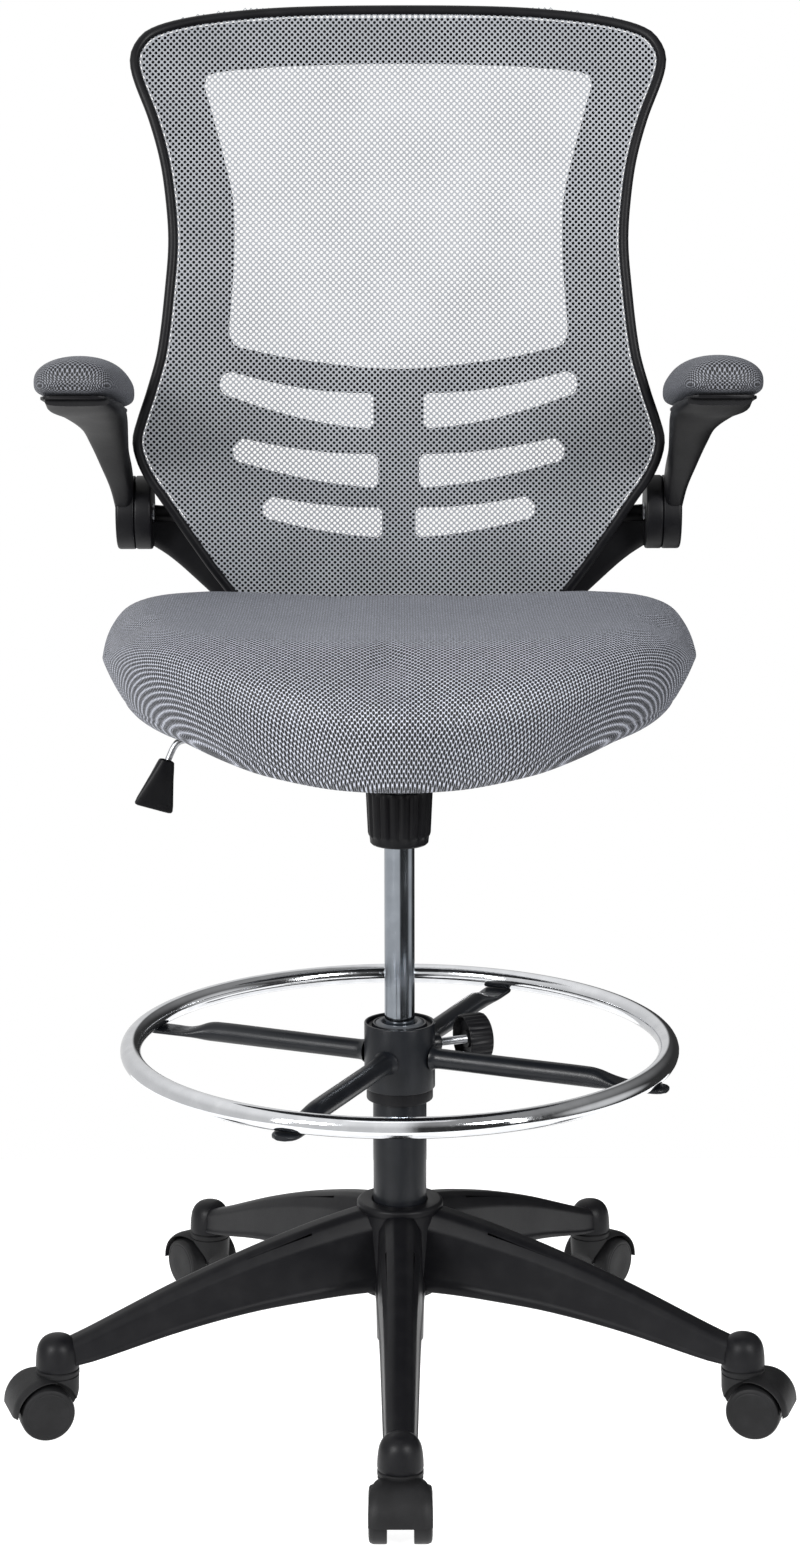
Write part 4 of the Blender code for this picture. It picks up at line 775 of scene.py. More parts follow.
def foot_ring():
    bush = (
        (TUBE_RADIUS + 0.0004, BUSH_BOTTOM), (0.0310, BUSH_BOTTOM),
        (0.0310, COLLAR_BOTTOM - 0.0003), (BUSH_RADIUS, COLLAR_BOTTOM - 0.0003),
        (BUSH_RADIUS, COLLAR_TOP - 0.003), (TUBE_RADIUS + 0.0004, COLLAR_TOP - 0.003),
    )
    fit(hollow("collar_bush", bush, 0.0009), "ring_slider", "black_nylon", "ring_bush")
    sleeve = (
        (BUSH_RADIUS + 0.0003, COLLAR_BOTTOM), (COLLAR_RADIUS, COLLAR_BOTTOM),
        (COLLAR_RADIUS, COLLAR_TOP), (BUSH_RADIUS + 0.0003, COLLAR_TOP),
    )
    collar = hollow("collar_sleeve", sleeve, 0.0008)
    clamp = about(Vector((0.0, 0.0, CLAMP_Z)), spin(CLAMP_ANGLE) @ Vector((1.0, 0.0, 0.0)))
    boss = softened(((0.0, 0.0318), (0.0080, 0.0318), (0.0080, 0.0400), (0.0, 0.0400)), 0.0008, 3)
    join(collar, lathe("boss", boss, clamp, 48))
    cut(collar, rod(0.0044, 0.026, 0.050, clamp, 32))
    fit(collar, "ring", "black_paint", "ring_collar")

    around = []
    for step in range(180):
        angle = 2 * math.pi * step / 180
        around.append((RING_RADIUS * math.cos(angle), RING_RADIUS * math.sin(angle), RING_Z))
    hoop = swept(around, lambda _: oval(RING_TUBE, RING_TUBE, 24), closed=True)
    fit(solid("foot_hoop", hoop, closed=True), "ring", "chrome", "foot_ring")

    tab_z = RING_Z - RING_TUBE - 0.0028
    stations = (
        # distance, half width, half height, centre height, squareness
        (COLLAR_RADIUS + 0.0006, 0.0125, 0.0115, SPOKE_Z, 1.0),
        (COLLAR_RADIUS + 0.0030, 0.0103, 0.0102, SPOKE_Z, 1.0),
        (COLLAR_RADIUS + 0.0060, RING_TUBE, RING_TUBE, SPOKE_Z, 1.0),
        (0.120, RING_TUBE, RING_TUBE, SPOKE_Z, 1.0),
        (0.188, RING_TUBE, RING_TUBE, SPOKE_Z, 1.0),
        (0.198, 0.0098, 0.0086, SPOKE_Z - 0.0007, 0.95),
        (0.210, 0.0115, 0.0052, SPOKE_Z - 0.0022, 0.8),
        (0.222, 0.0128, 0.0027, tab_z, 0.6),
        (0.236, 0.0130, 0.0025, tab_z, 0.5),
        (0.252, 0.0128, 0.0025, tab_z, 0.5),
        (0.259, 0.0105, 0.0024, tab_z, 0.55),
        (0.2625, 0.0060, 0.0022, tab_z, 0.6),
    )
    for number, angle in enumerate(SPOKE_ANGLES, 1):
        place = spin(angle)
        rings = []
        for distance, half_width, half_height, z, power in spline(stations, 72, keys=1):
            outline = oval(half_width, half_height, 32, power)
            rings.append([place @ Vector((distance, a, z + b)) for a, b in outline])
        fit(solid(f"spoke_bar_{number}", rings), "ring", "black_paint", f"spoke_{number}")

    screw = [(0.0, BUSH_RADIUS + 0.0003)]
    start, end = BUSH_RADIUS + 0.0003, CLAMP_OUTER - 0.008
    turns = int((end - start) / 0.0010)
    for step in range(2 * turns + 1):
        screw.append((0.0040 if step % 2 else 0.0036, start + (end - start) * step / (2 * turns)))
    screw.append((0.0, end))
    fit(lathe("clamp_bolt", screw, clamp, 32, sharp=60), "clamp", "zinc_steel", "clamp_screw")
    grip = (
        # radius, height, share of the grip's flutes there
        (0.0043, CLAMP_OUTER - 0.0075, 0.0),
        (0.0043, CLAMP_INNER + 0.0040, 0.0),
        (0.0080, CLAMP_INNER + 0.0038, 0.0),
        (0.0085, CLAMP_INNER + 0.0060, 0.0),
        (CLAMP_RADIUS - 0.0042, CLAMP_INNER + 0.0060, 0.0),
        (CLAMP_RADIUS - 0.0034, CLAMP_INNER + 0.0030, 0.0),
        (CLAMP_RADIUS - 0.0026, CLAMP_INNER + 0.0004, 0.0),
        (CLAMP_RADIUS - 0.0012, CLAMP_INNER, 0.2),
        (CLAMP_RADIUS, CLAMP_INNER + 0.0014, 1.0),
        (CLAMP_RADIUS, CLAMP_OUTER - 0.0040, 1.0),
        (CLAMP_RADIUS - 0.0008, CLAMP_OUTER - 0.0018, 0.6),
        (CLAMP_RADIUS - 0.0030, CLAMP_OUTER - 0.0003, 0.0),
        (0.0150, CLAMP_OUTER, 0.0),
    )
    inner, outer = ([clamp @ Vector((0.0, 0.0, height))] for height in (CLAMP_OUTER - 0.0075, CLAMP_OUTER))
    rings = [inner] + fluted(grip, clamp, 24, 0.0009) + [outer]
    fit(solid("clamp_grip", rings), "clamp", "black_nylon", "clamp_knob")


def fluted(profile, place, ribs, depth, per_rib=6):
    """Rings of a lathe profile of (radius, height, flute share), with rounded ribs around it."""
    rings = []
    for radius, height, share in profile:
        ring = []
        for step in range(ribs * per_rib):
            angle = 2 * math.pi * step / (ribs * per_rib)
            reach = radius - (0.5 - 0.5 * math.cos(ribs * angle)) ** 3 * depth * share
            ring.append(place @ Vector((reach * math.cos(angle), reach * math.sin(angle), height)))
        rings.append(ring)
    return rings


# ---------------------------------------------------------------- mechanism and lever


def tension_knob():
    line = about(Vector((0.0, BOLT_Y, 0.0)))
    profile = (
        (0.0043, KNOB_BOTTOM + 0.0016, 0.0),
        (0.0225, KNOB_BOTTOM + 0.0004, 0.0),
        (0.0248, KNOB_BOTTOM + 0.0004, 0.0),
        (0.0262, KNOB_BOTTOM + 0.0018, 0.0),
        (0.0268, KNOB_BOTTOM + 0.0075, 0.0),
        (0.0276, KNOB_BOTTOM + 0.0085, 0.3),
        (0.0283, KNOB_BOTTOM + 0.0110, 1.0),
        (0.0299, KNOB_TOP - 0.0050, 1.0),
        (0.0300, KNOB_TOP - 0.0020, 0.6),
        (0.0292, KNOB_TOP - 0.0002, 0.2),
        (0.0275, KNOB_TOP, 0.0),
        (0.0262, KNOB_TOP - 0.0010, 0.0),
        (0.0250, KNOB_BOTTOM + 0.0080, 0.0),
        (0.0050, KNOB_BOTTOM + 0.0070, 0.0),
        (0.0043, KNOB_BOTTOM + 0.0066, 0.0),
    )
    grip = solid("tension_grip", fluted(profile, line, KNOB_RIBS, 0.0022, 8), closed=True)
    fit(grip, "tension_handwheel", "black_nylon", "tension_knob")


def lever():
    bends = (
        (0.014, LEVER_Y + 0.005, LEVER_Z),
        (-0.020, LEVER_Y + 0.003, LEVER_Z),
        (-0.040, LEVER_Y, LEVER_Z),
        (-0.066, LEVER_Y, LEVER_Z),
        (-0.120, -0.018, LEVER_Z + 0.0030),
        (-0.180, -0.038, LEVER_Z + 0.0075),
        (-0.195, -0.042, LEVER_Z + 0.0080),
        (-0.2015, -0.0435, LEVER_Z + 0.0045),
        (-0.2095, -0.0450, LEVER_Z - 0.0120),
    )
    path = spline(bends, 72, keys=3)
    wire = swept(path, lambda _: oval(LEVER_RADIUS, LEVER_RADIUS, 16), up=(0.0, 1.0, 0.0))
    fit(solid("lever_wire", wire), "lever", "zinc_steel", "lever_rod")
    top = Vector((-0.2092, -0.0450, 0.6250))
    end = Vector((-0.2220, -0.0530, 0.5810))
    along = (end - top).normalized()
    broad = along.cross(Vector((0.25, -1.0, 0.0)).normalized()).normalized()
    face = broad.cross(along).normalized()
    stations = (
        # share of the way down, half width, half depth
        (0.00, 0.0040, 0.0036),
        (0.01, 0.0058, 0.0052),
        (0.03, 0.0070, 0.0062),
        (0.14, 0.0084, 0.0062),
        (0.35, 0.0108, 0.0052),
        (0.60, 0.0140, 0.0043),
        (0.85, 0.0172, 0.0034),
        (0.95, 0.0180, 0.0029),
        (0.985, 0.0172, 0.0024),
        (1.00, 0.0150, 0.0014),
    )
    rings = []
    for share, half_width, half_depth in stations:
        centre = top.lerp(end, share)
        rings.append([centre + broad * a + face * b for a, b in oval(half_width, half_depth, 40, 0.7)])
    fit(solid("lever_handle", rings), "lever", "black_nylon", "lever_paddle")


# ---------------------------------------------------------------- padding

CLOTH = {
    "quality": 6,
    "mass": 0.15,
    "tension_stiffness": 40,
    "compression_stiffness": 40,
    "shear_stiffness": 30,
    "bending_stiffness": 6,
    "air_damping": 4,
    "use_pressure": True,
}


def inflate(made, pinned, pressure, cap, frames=18):
    """Swells a padded shape with a cloth simulation that holds its pinned points and caps every move."""
    start = [vertex.co.copy() for vertex in made.data.vertices]
    group = made.vertex_groups.new(name="held")
    group.add(pinned, 1.0, "REPLACE")
    cloth = made.modifiers.new("swell", "CLOTH")
    for key, value in CLOTH.items():
        setattr(cloth.settings, key, value)
    cloth.settings.uniform_pressure_force = pressure
    cloth.settings.vertex_group_mass = "held"
    cloth.settings.effector_weights.gravity = 0
    cloth.point_cache.frame_start = 1
    cloth.point_cache.frame_end = frames
    scene = bpy.context.scene
    for number in range(1, frames + 1):
        scene.frame_set(number)
    graph = bpy.context.evaluated_depsgraph_get()
    swollen = [vertex.co.copy() for vertex in made.evaluated_get(graph).data.vertices]
    made.modifiers.clear()
    made.vertex_groups.clear()
    scene.frame_set(1)
    for vertex, before, after in zip(made.data.vertices, start, swollen):
        move = after - before
        if move.length > cap:
            move *= cap / move.length
        vertex.co = before + move


def unroll(made, outward, drops):
    """A UV map in metres that carries the plan over the edges: each point moves outward by its drop."""
    layer = made.data.uv_layers.new(name="unrolled")
    for loop in made.data.loops:
        x, y, _ = made.data.vertices[loop.vertex_index].co
        nx, ny = outward[loop.vertex_index]
        drop = drops[loop.vertex_index]
        layer.data[loop.index].uv = (x + nx * drop, y + ny * drop)


def subdivide(made):
    made.modifiers.new("smooth", "SUBSURF").levels = 1
    made.modifiers["smooth"].render_levels = 1


def seat_top(x, y):
    return blend(SEAT_CROWN, y) + SEAT_DISH * (x / SEAT_HALF_WIDTH) ** 2


def toward_front(y):
    """0 over most of the seat, rising to 1 at its front edge."""
    return min(max((FRONT_START - y) / (FRONT_START - SEAT_FRONT), 0.0), 1.0) ** 1.38


def seat_lip(y):
    return LIP_SIDE + (LIP_FRONT - LIP_SIDE) * toward_front(y)


def seat_cushion():
    half = list(SEAT_PLAN)
    plan = spline(half + [(-x, y) for x, y in reversed(half[1:-1])], 184, closed=True)
    normals = []
    for index in range(len(plan)):
        along = (plan[(index + 1) % len(plan)] - plan[index - 1]).normalized()
        normals.append(Vector((along.y, -along.x)))
    layers = (
        # inset from the plan, share of the way from the lower edge to the top
        (RECESS_INSET, 0.000), (0.0285, 0.025), (0.0190, 0.130), (0.0138, 0.240), (0.0092, 0.350),
        (0.0054, 0.460), (0.0018, 0.600), (0.0002, 0.700), (0.0022, 0.820), (0.0096, 0.930),
        (TOP_INSET, 0.990),
    )
    rows = []
    middle = Vector((0.0, (SEAT_FRONT + SEAT_REAR) / 2))
    for scale in (0.45, 0.80, 1.0):
        ring = []
        for point, normal in zip(plan, normals):
            x, y = middle + (point - normal * RECESS_INSET - middle) * scale
            ring.append((Vector((x, y, RECESS_Z - RECESS_RISE * toward_front(y))), normal, 0.10))
        rows.append(ring)
    seam_row = None
    for inward, share in spline(layers, 34):
        ring = []
        if seam_row is None and share > SEAM_SHARE:
            seam_row = len(rows)
        for point, normal in zip(plan, normals):
            x, y = point - normal * inward
            low, high = seat_lip(y), seat_top(x, y)
            z = low + (high - low) * share
            ring.append((Vector((x, y, z)), normal, high - z))
        rows.append(ring)
    steps = 16
    for step in range(1, steps):
        ring = []
        scale = 1.0 - step / steps
        for point, normal in zip(plan, normals):
            x, y = middle + (point - normal * TOP_INSET - middle) * scale
            high = seat_top(x, y)
            sunk = 0.01 * (high - seat_lip(y)) * scale**8
            ring.append((Vector((x, y, high - sunk)), normal, 0.0))
        rows.append(ring)
    rings = [[entry[0] for entry in ring] for ring in rows]
    rings.append([Vector((middle.x, middle.y, seat_top(*middle)))])
    made = solid("seat_upholstery", rings, sharp=180)
    outward = [entry[1] for ring in rows for entry in ring] + [Vector((0.0, 0.0))]
    drops = [entry[2] for ring in rows for entry in ring] + [0.0]
    unroll(made, outward, drops)
    count = len(plan)
    inflate(made, list(range(5 * count)), 3.5, 0.006)
    for index in range(seam_row * count, (seam_row + 1) * count):
        nx, ny = outward[index]
        made.data.vertices[index].co -= Vector((nx, ny, 0.0)) * SEAM_DEPTH
    subdivide(made)
    fit(made, "seat", "seat_fabric", "seat_cushion")


# ---------------------------------------------------------------- back


def back_y(x, z):
    """The back's front surface: curved like a spine in side view, and wrapping forward at its sides."""
    return blend(BACK_PROFILE, z) - BACK_WRAP * x * x


def slot_outline(slot):
    inner, outer, low, high, end_z, end_half = slot
    steps = 16
    lower, upper = [], []
    for step in range(steps + 1):
        share = step / steps
        x = inner + (outer - end_half - inner) * share
        curve = share**1.8
        centre = (low + high) / 2 + (end_z - (low + high) / 2) * curve
        half = (high - low) / 2 + (end_half - (high - low) / 2) * share
        lower.append((x, centre - half))
        upper.append((x, centre + half))
    tip = arc(outer - end_half, end_z, end_half, range(-75, 76, 15))
    corner = 0.004
    lower[0] = (lower[0][0] + corner, lower[0][1])
    upper[0] = (upper[0][0] + corner, upper[0][1])
    start = [(inner, upper[0][1] - corner), (inner, lower[0][1] + corner)]
    return lower + tip + list(reversed(upper)) + start


def half_width_at(table, z):
    for (x0, z0), (x1, z1) in zip(table, table[1:]):
        if z0 <= z <= z1 and z1 > z0:
            return x0 + (x1 - x0) * (z - z0) / (z1 - z0)
    return 0.0


def back():
    facing = Matrix.Rotation(math.radians(90), 4, "X")
    outline = inset(mirrored(BACK_OUTLINE), SHELL_INSET)[: len(BACK_OUTLINE)]
    fine = spline(outline[1:-1], 120)
    columns = 52
    rings = []
    for half, z in fine:
        across = [half * (2 * step / columns - 1) for step in range(columns + 1)]
        ring = [Vector((x, back_y(x, z) + SHELL_BACKSET, z)) for x in across]
        rear = SHELL_BACKSET + SHELL_THICKNESS
        ring += [Vector((x, back_y(x, z) + rear, z)) for x in reversed(across)]
        rings.append(ring)
    shell = solid("back_frame_moulding", rings, sharp=40)
    window = spline(mirrored(list(reversed(BACK_WINDOW))), 150, closed=True)
    cutters = [prism("window", window, -0.40, -0.10, facing)]
    for slot in BACK_SLOTS:
        shape = slot_outline(slot)
        cutters.append(prism("slot", shape, -0.40, -0.10, facing))
        cutters.append(prism("slot", [(-x, z) for x, z in shape], -0.40, -0.10, facing))
    cut(shell, *cutters)
    fit(shell, "seat", "black_nylon", "back_shell")

    middle = spline(inset(mirrored(BACK_OUTLINE), RIM_WIDTH / 2), 300, closed=True)
    path = [(x, back_y(x, z) + 0.0035, z) for x, z in middle]
    edge = oval(RIM_WIDTH / 2, RIM_DEPTH / 2, 20, 0.75)
    rim = swept(path, lambda _: edge, up=(0.0, 1.0, 0.0), closed=True)
    fit(solid("back_edge", rim, closed=True), "seat", "black_nylon", "back_rim")


def back_net():
    """The net stretched over the back: yarn around staggered round holes, on a lattice of diamond cells."""
    outline = [tuple(row) for row in spline(BACK_OUTLINE, 200)]
    step = MESH_PITCH / 2
    bottom = BACK_OUTLINE[0][1]
    rows = int((BACK_OUTLINE[-1][1] - bottom) / step)
    columns = int(0.26 / step)
    points, faces = [], []
    corners = {}

    def place(x, z, sunk):
        points.append((x, back_y(x, z) + sunk, z))
        return len(points) - 1

    def corner(i, j):
        if (i, j) not in corners:
            corners[i, j] = place(i * step, bottom + j * step, 0.0)
        return corners[i, j]

    eighths = [22.5 + 45 * turn for turn in range(8)]
    for j in range(1, rows):
        z = bottom + j * step
        reach = half_width_at(outline, z) - 0.0052
        for i in range(-columns, columns + 1):
            x = i * step
            if (i + j) % 2 or abs(x) > reach:
                continue
            rim = [place(*point, 0.0004) for point in arc(x, z, MESH_HOLE, eighths)]
            tips = [corner(i + 1, j), corner(i, j + 1), corner(i - 1, j), corner(i, j - 1)]
            for quarter in range(4):
                before = rim[(2 * quarter - 1) % 8]
                near = rim[2 * quarter]
                far = rim[2 * quarter + 1]
                faces.append((tips[quarter], near, before))
                faces.append((tips[quarter], tips[(quarter + 1) % 4], far, near))
    net = link("back_net", points, faces, sharp=180)
    fit(net, "seat", "back_fabric", "back_mesh")


def pivot_line(side):
    """Matrix that takes local +Z outward along the pivot of the arm on one side."""
    return about(Vector((0.0, PIVOT_Y, PIVOT_Z)), (side, 0.0, 0.0))


def back_support():
    """The yoke: a bar from each arm pivot down behind the seat and forward under it to the tilt plate."""
    half_path = (
        # x, y, z, half the depth in front view, half width, turn of the section
        (0.2480, 0.2380, 0.8020, 0.0165, 0.0120, 0.00),
        (0.2300, 0.242, 0.7960, 0.0200, 0.0120, 0.00),
        (0.2080, 0.245, 0.7780, 0.0180, 0.0120, 0.00),
        (0.1820, 0.246, 0.7530, 0.0170, 0.0120, 0.00),
        (0.1560, 0.2455, 0.7250, 0.0150, 0.0120, 0.25),
        (0.1320, 0.2450, 0.6960, 0.0115, 0.0120, 0.50),
        (0.1150, 0.2300, 0.6680, 0.0085, 0.0120, 0.75),
        (0.0980, 0.1990, 0.6500, 0.0060, 0.0120, 1.00),
        (0.0870, 0.1580, 0.6455, 0.0050, 0.0120, 1.00),
        (0.0850, 0.100, 0.6455, 0.0050, 0.0110, 1.00),
        (0.0850, 0.040, 0.6455, 0.0050, 0.0110, 1.00),
    )
    rows = spline([Vector(row) for row in half_path], 60, keys=3)
    parts = []
    for side in (1, -1):
        path = [Vector((side * row[0], row[1], row[2])) for row in rows]
        rings = []
        for index, point in enumerate(path):
            before = path[max(index - 1, 0)]
            after = path[min(index + 1, len(path) - 1)]
            along = (after - before).normalized()
            share = min(max(rows[index][5], 0.0), 1.0)
            wide = Vector((side * share, 1.0 - share, 0.0))
            wide = (wide - along * wide.dot(along)).normalized()
            thick = along.cross(wide)
            outline = oval(rows[index][4], rows[index][3], 28, 0.6)
            rings.append([point + wide * a + thick * b for a, b in outline])
        parts.append(solid("bar", rings))
        knuckle = (
            (0.0, KNUCKLE_INNER), (KNUCKLE_RADIUS, KNUCKLE_INNER),
            (KNUCKLE_RADIUS, KNUCKLE_OUTER - 0.0003), (0.0, KNUCKLE_OUTER - 0.0003),
        )
        knuckle = softened(knuckle, 0.0024, 5)
        parts.append(lathe("knuckle", knuckle, pivot_line(side), 80))
    corners = ((0.135, 0.6412), (0.165, 0.6412), (0.165, 0.6498), (0.135, 0.6498))
    bar = softened(corners, 0.002, 3, closed=True)
    crossbar = solid("crossbar", [[Vector((x, y, z)) for y, z in bar] for x in (-0.0865, 0.0865)])
    yoke = join(parts[0], *parts[1:], crossbar)
    bolt_hole = (
        (0.0, 0.19), (0.0095, 0.19), (0.0095, KNUCKLE_INNER), (BOLT_HOLE_RADIUS, KNUCKLE_INNER),
        (BOLT_HOLE_RADIUS, 0.30), (0.0, 0.30),
    )
    for side in (1, -1):
        cut(yoke, lathe("hole", bolt_hole, pivot_line(side), 48))
    yoke.name = "yoke"
    fit(yoke, "seat", "black_nylon", "back_support")


# ---------------------------------------------------------------- arms


def pad_bottom(y):
    share = (y - PAD_FRONT) / (PAD_REAR - PAD_FRONT)
    return PAD_FRONT_BOTTOM + (PAD_REAR_BOTTOM - PAD_FRONT_BOTTOM) * share


def arm(label, side):
    line = pivot_line(side)
    disc = (
        (0.0, KNUCKLE_OUTER), (KNUCKLE_RADIUS - 0.0006, KNUCKLE_OUTER),
        (KNUCKLE_RADIUS, KNUCKLE_OUTER + 0.0008), (KNUCKLE_RADIUS, ARM_OUTER), (0.0, ARM_OUTER),
    )
    disc = softened(disc, 0.0034, 6)
    body = lathe(f"arm_moulding_{label}", disc, line, 80)
    stations = (
        # y, z, centre x, half width, half thickness
        (0.226, 0.822, 0.2637, 0.0088, 0.0220),
        (0.196, 0.850, 0.2655, 0.0110, 0.0180),
        (0.160, 0.874, 0.2685, 0.0140, 0.0140),
        (0.118, 0.896, 0.2695, 0.0178, 0.0110),
        (0.076, 0.9165, 0.2705, 0.0218, 0.0115),
        (0.030, 0.9310, 0.2755, 0.0285, 0.0090),
        (-0.012, 0.9392, 0.2800, 0.0320, 0.0072),
        (-0.044, 0.9474, 0.2835, 0.0285, 0.0042),
    )
    rows = spline([Vector(row) for row in stations], 48)
    path = [Vector((side * row[2], row[0], row[1])) for row in rows]
    rings = []
    for index, point in enumerate(path):
        before = path[max(index - 1, 0)]
        after = path[min(index + 1, len(path) - 1)]
        along = (after - before).normalized()
        upward = (Vector((1.0, 0.0, 0.0)).cross(along)).normalized()
        outline = oval(rows[index][3], rows[index][4], 40, 0.62)
        rings.append([point + Vector((side * a, 0.0, 0.0)) + upward * b for a, b in outline])
    tray = []
    for y, half_wide in (
        (PAD_FRONT + 0.010, 0.022), (PAD_FRONT + 0.013, 0.027), (PAD_FRONT + 0.022, 0.0305),
        (0.065, 0.0315), (PAD_REAR - 0.030, 0.0305), (PAD_REAR - 0.014, 0.026),
        (PAD_REAR - 0.010, 0.021),
    ):
        corners = ((-half_wide, -0.0034), (half_wide, -0.0034), (half_wide, -0.0003), (-half_wide, -0.0003))
        shape = softened(corners, 0.0010, 3, closed=True)
        tray.append([Vector((side * (PAD_CENTRE_X + a), y, pad_bottom(y) + b)) for a, b in shape])
    join(body, solid("post", rings), solid("tray", tray))
    cut(body, rod(BOLT_HOLE_RADIUS, 0.24, ARM_OUTER - 0.0040, line, 32))
    fit(body, f"{label}_arm", "black_nylon", f"arm_{label}")
    arm_pad(label, side)


def arm_pad(label, side):
    slope = math.atan2(PAD_FRONT_BOTTOM - PAD_REAR_BOTTOM, PAD_REAR - PAD_FRONT)
    normal = Vector((0.0, math.sin(slope), math.cos(slope)))
    table = (
        # share of the length, half width, underside, top
        (0.000, 0.0170, 0.0100, 0.0180),
        (0.006, 0.0225, 0.0065, 0.0228),
        (0.020, 0.0285, 0.0038, 0.0272),
        (0.045, 0.0325, 0.0018, 0.0306),
        (0.080, 0.0352, 0.0006, 0.0330),
        (0.160, 0.0384, 0.0000, 0.0362),
        (0.300, 0.0396, 0.0000, 0.0392),
        (0.500, PAD_HALF_WIDTH, 0.0000, PAD_THICKNESS),
    )
    whole = list(table) + [(1.0 - row[0], *row[1:]) for row in reversed(table[:-1])]
    marks = [0.0, 0.002, 0.006, 0.012, 0.020, 0.032, 0.046, 0.062, 0.08, 0.10]
    between = [0.10 + 0.80 * step / 26 for step in range(1, 26)]
    shares = marks + between + [1.0 - mark for mark in reversed(marks)]
    rings, outward, drops = [], [], []
    for share in shares:
        half_wide, low, high = (
            blend([(row[0], row[column]) for row in whole], share) for column in (1, 2, 3)
        )
        y = PAD_FRONT + (PAD_REAR - PAD_FRONT) * share
        middle = Vector((side * PAD_CENTRE_X, y, pad_bottom(y)))
        waist = low + 0.40 * (high - low)
        lower = oval(half_wide, waist - low, 36, 0.55)
        upper = oval(half_wide, high - waist, 36, 0.95)
        ring = []
        end = max(-1.0, min(1.0, (share - 0.5) / 0.5)) ** 9
        for a, b in upper[:18] + lower[18:]:
            ring.append(middle + Vector((side * a, 0.0, 0.0)) + normal * (waist + b))
            outward.append((side * math.copysign(min(abs(a) / half_wide, 1.0) ** 4, a), end))
            drops.append(high - waist - b)
        rings.append(ring)
    pad = solid(f"arm_cushion_{label}", rings, sharp=180)
    unroll(pad, outward, drops)
    held = [index for index, drop in enumerate(drops) if drop > 0.72 * PAD_THICKNESS]
    inflate(pad, held, 2.5, 0.0025, 14)
    subdivide(pad)
    fit(pad, f"{label}_arm", "pad_fabric", f"armpad_{label}")


# ---------------------------------------------------------------- CAD nodes that stay


KEPT = {
    "mechanism_housing": "black_paint",
    "tilt_plate": "black_paint",
    "seat_pan": "black_nylon",
    "lever_slider": "grey_nylon",
    "piston_rod": "zinc_steel",
    "thrust_bearing": "zinc_steel",
    "retaining_clip": "zinc_steel",
    "release_button": "zinc_steel",
    "tilt_shaft": "zinc_steel",
    "tension_bolt": "zinc_steel",
    "tension_spring": "zinc_steel",
    "arm_pivot_bolt_left": "zinc_steel",
    "arm_pivot_bolt_right": "zinc_steel",
    **{f"caster_stem_{number}": "zinc_steel" for number in range(1, 6)},
}
EDGED = {"mechanism_housing": 0.0009, "tilt_plate": 0.0007, "seat_pan": 0.0020, "lever_slider": 0.0006}


def kept_nodes():
    for name, slot in KEPT.items():
        node = bpy.data.objects[name]
        for place in node.material_slots:
            place.material = FINISHES[slot]
        if name in EDGED:
            edge = node.modifiers.new("edge", "BEVEL")
            edge.width = EDGED[name]
            edge.segments = 2
            edge.limit_method = "ANGLE"


# ---------------------------------------------------------------- studio


CAMERA = (0.0, -3.0368, 1.2535)
CAMERA_PITCH = 77.865
CAMERA_ROLL = -0.10
LENS = 79.57
SHIFT_ACROSS = 0.0005
FLOOR_HALF = 0.7
LIGHTS = (
    # name, azimuth, elevation, distance, width, height, power
    ("key_left", -36, 23, 4.4, 0.9, 1.2, 112.0),
    ("key_right", 36, 23, 4.4, 0.9, 1.2, 112.0),
    ("strip_left", -46, 9, 3.2, 0.30, 2.0, 26.0),
    ("strip_right", 46, 9, 3.2, 0.30, 2.0, 26.0),
    ("top", 0, 80, 3.4, 1.6, 1.2, 4.0),
)


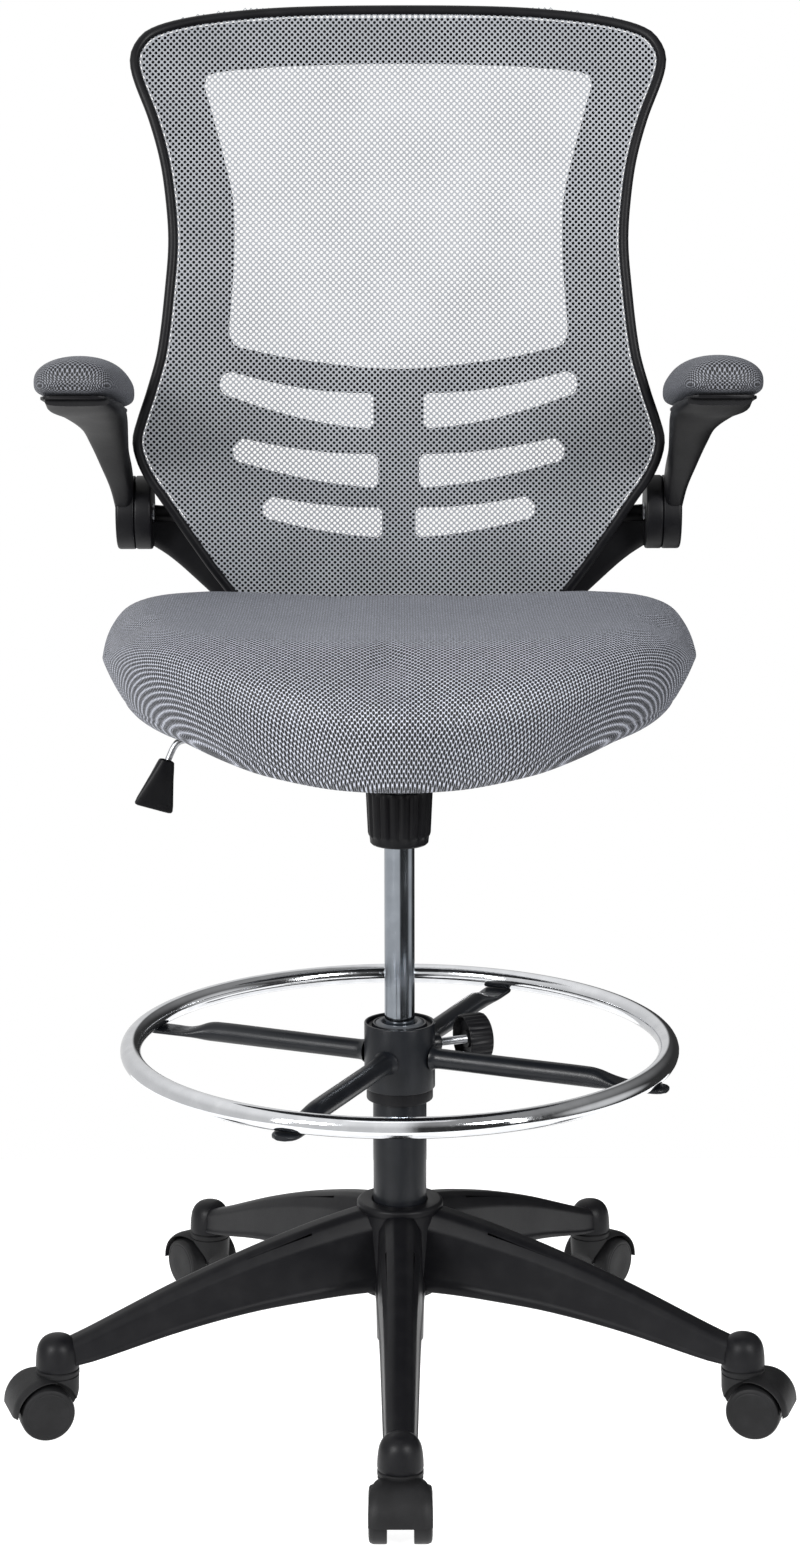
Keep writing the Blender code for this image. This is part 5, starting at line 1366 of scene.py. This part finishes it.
def studio():
    scene = bpy.context.scene
    data = bpy.data.cameras.new("camera")
    data.lens = LENS
    data.sensor_width = 36.0
    data.shift_x = SHIFT_ACROSS
    camera = bpy.data.objects.new("camera", data)
    scene.collection.objects.link(camera)
    camera.matrix_world = (
        Matrix.Translation(CAMERA)
        @ Matrix.Rotation(math.radians(CAMERA_PITCH), 4, "X")
        @ Matrix.Rotation(math.radians(CAMERA_ROLL), 4, "Z")
    )
    scene.camera = camera
    scene.view_settings.view_transform = "Standard"

    world = bpy.data.worlds.new("studio")
    world.use_nodes = True
    tree = world.node_tree
    tree.nodes.clear()
    heading = add(tree, "SeparateXYZ", {0: add(tree, "TexCoord").outputs["Generated"]})
    upward = ranged(tree, heading.outputs[2], 0.15, 0.85, 0.04, 0.34, smooth=True)
    # The room is brighter over the whole left side, and again at the far right.
    aside = math_node(tree, "ABSOLUTE", math_node(tree, "SUBTRACT", heading.outputs[0], 0.5))
    sideways = ranged(tree, aside, 0.36, 0.50, 0.0, 0.75, smooth=True)
    dim = math_node(tree, "ADD", upward, sideways)
    seen = add(tree, "LightPath").outputs["Is Camera Ray"]
    room = add(tree, "Background", {"Color": (1.0, 1.0, 1.0, 1.0), "Strength": dim})
    backdrop = add(tree, "Background", {"Color": (1.0, 1.0, 1.0, 1.0), "Strength": 1.0})
    mix = add(tree, "MixShader", {0: seen, 1: room.outputs[0], 2: backdrop.outputs[0]})
    out = tree.nodes.new("ShaderNodeOutputWorld")
    tree.links.new(mix.outputs[0], out.inputs[0])
    scene.world = world

    signs = ((-1, -1), (1, -1), (1, 1), (-1, 1))
    corners = [Vector((x * FLOOR_HALF, y * FLOOR_HALF, 0.0)) - SHIFT for x, y in signs]
    floor = link("floor", corners, [(0, 1, 2, 3)])
    made, tree, surface, where = blank("pale_floor")
    mottle = tinted(tree, noise(tree, where, 30.0, 3.0), (0.50, 0.50, 0.50), (0.54, 0.54, 0.54))
    tree.links.new(mottle, surface.inputs["Base Color"])
    surface.inputs["Roughness"].default_value = 0.9
    surface.inputs["Specular IOR Level"].default_value = 0.1
    surface.inputs["Emission Color"].default_value = (1.0, 1.0, 1.0, 1.0)
    surface.inputs["Emission Strength"].default_value = 0.92
    floor.data.materials.append(made)

    target = Vector((0.0, 0.0, 0.6))
    for name, azimuth, elevation, distance, width, height, power in LIGHTS:
        lamp = bpy.data.lights.new(name, "AREA")
        lamp.shape = "RECTANGLE"
        lamp.size = width
        lamp.size_y = height
        lamp.energy = power
        light = bpy.data.objects.new(name, lamp)
        turn, lift = math.radians(azimuth), math.radians(elevation)
        away = Vector((math.sin(turn) * math.cos(lift), -math.cos(turn) * math.cos(lift), math.sin(lift)))
        light.location = target + away * distance
        light.rotation_euler = away.to_track_quat("Z", "Y").to_euler()
        scene.collection.objects.link(light)


FINISHES = make_finishes()
studio()
star_base()
column()
casters()
foot_ring()
tension_knob()
lever()
seat_cushion()
back()
back_net()
back_support()
arm("left", 1)
arm("right", -1)
kept_nodes()
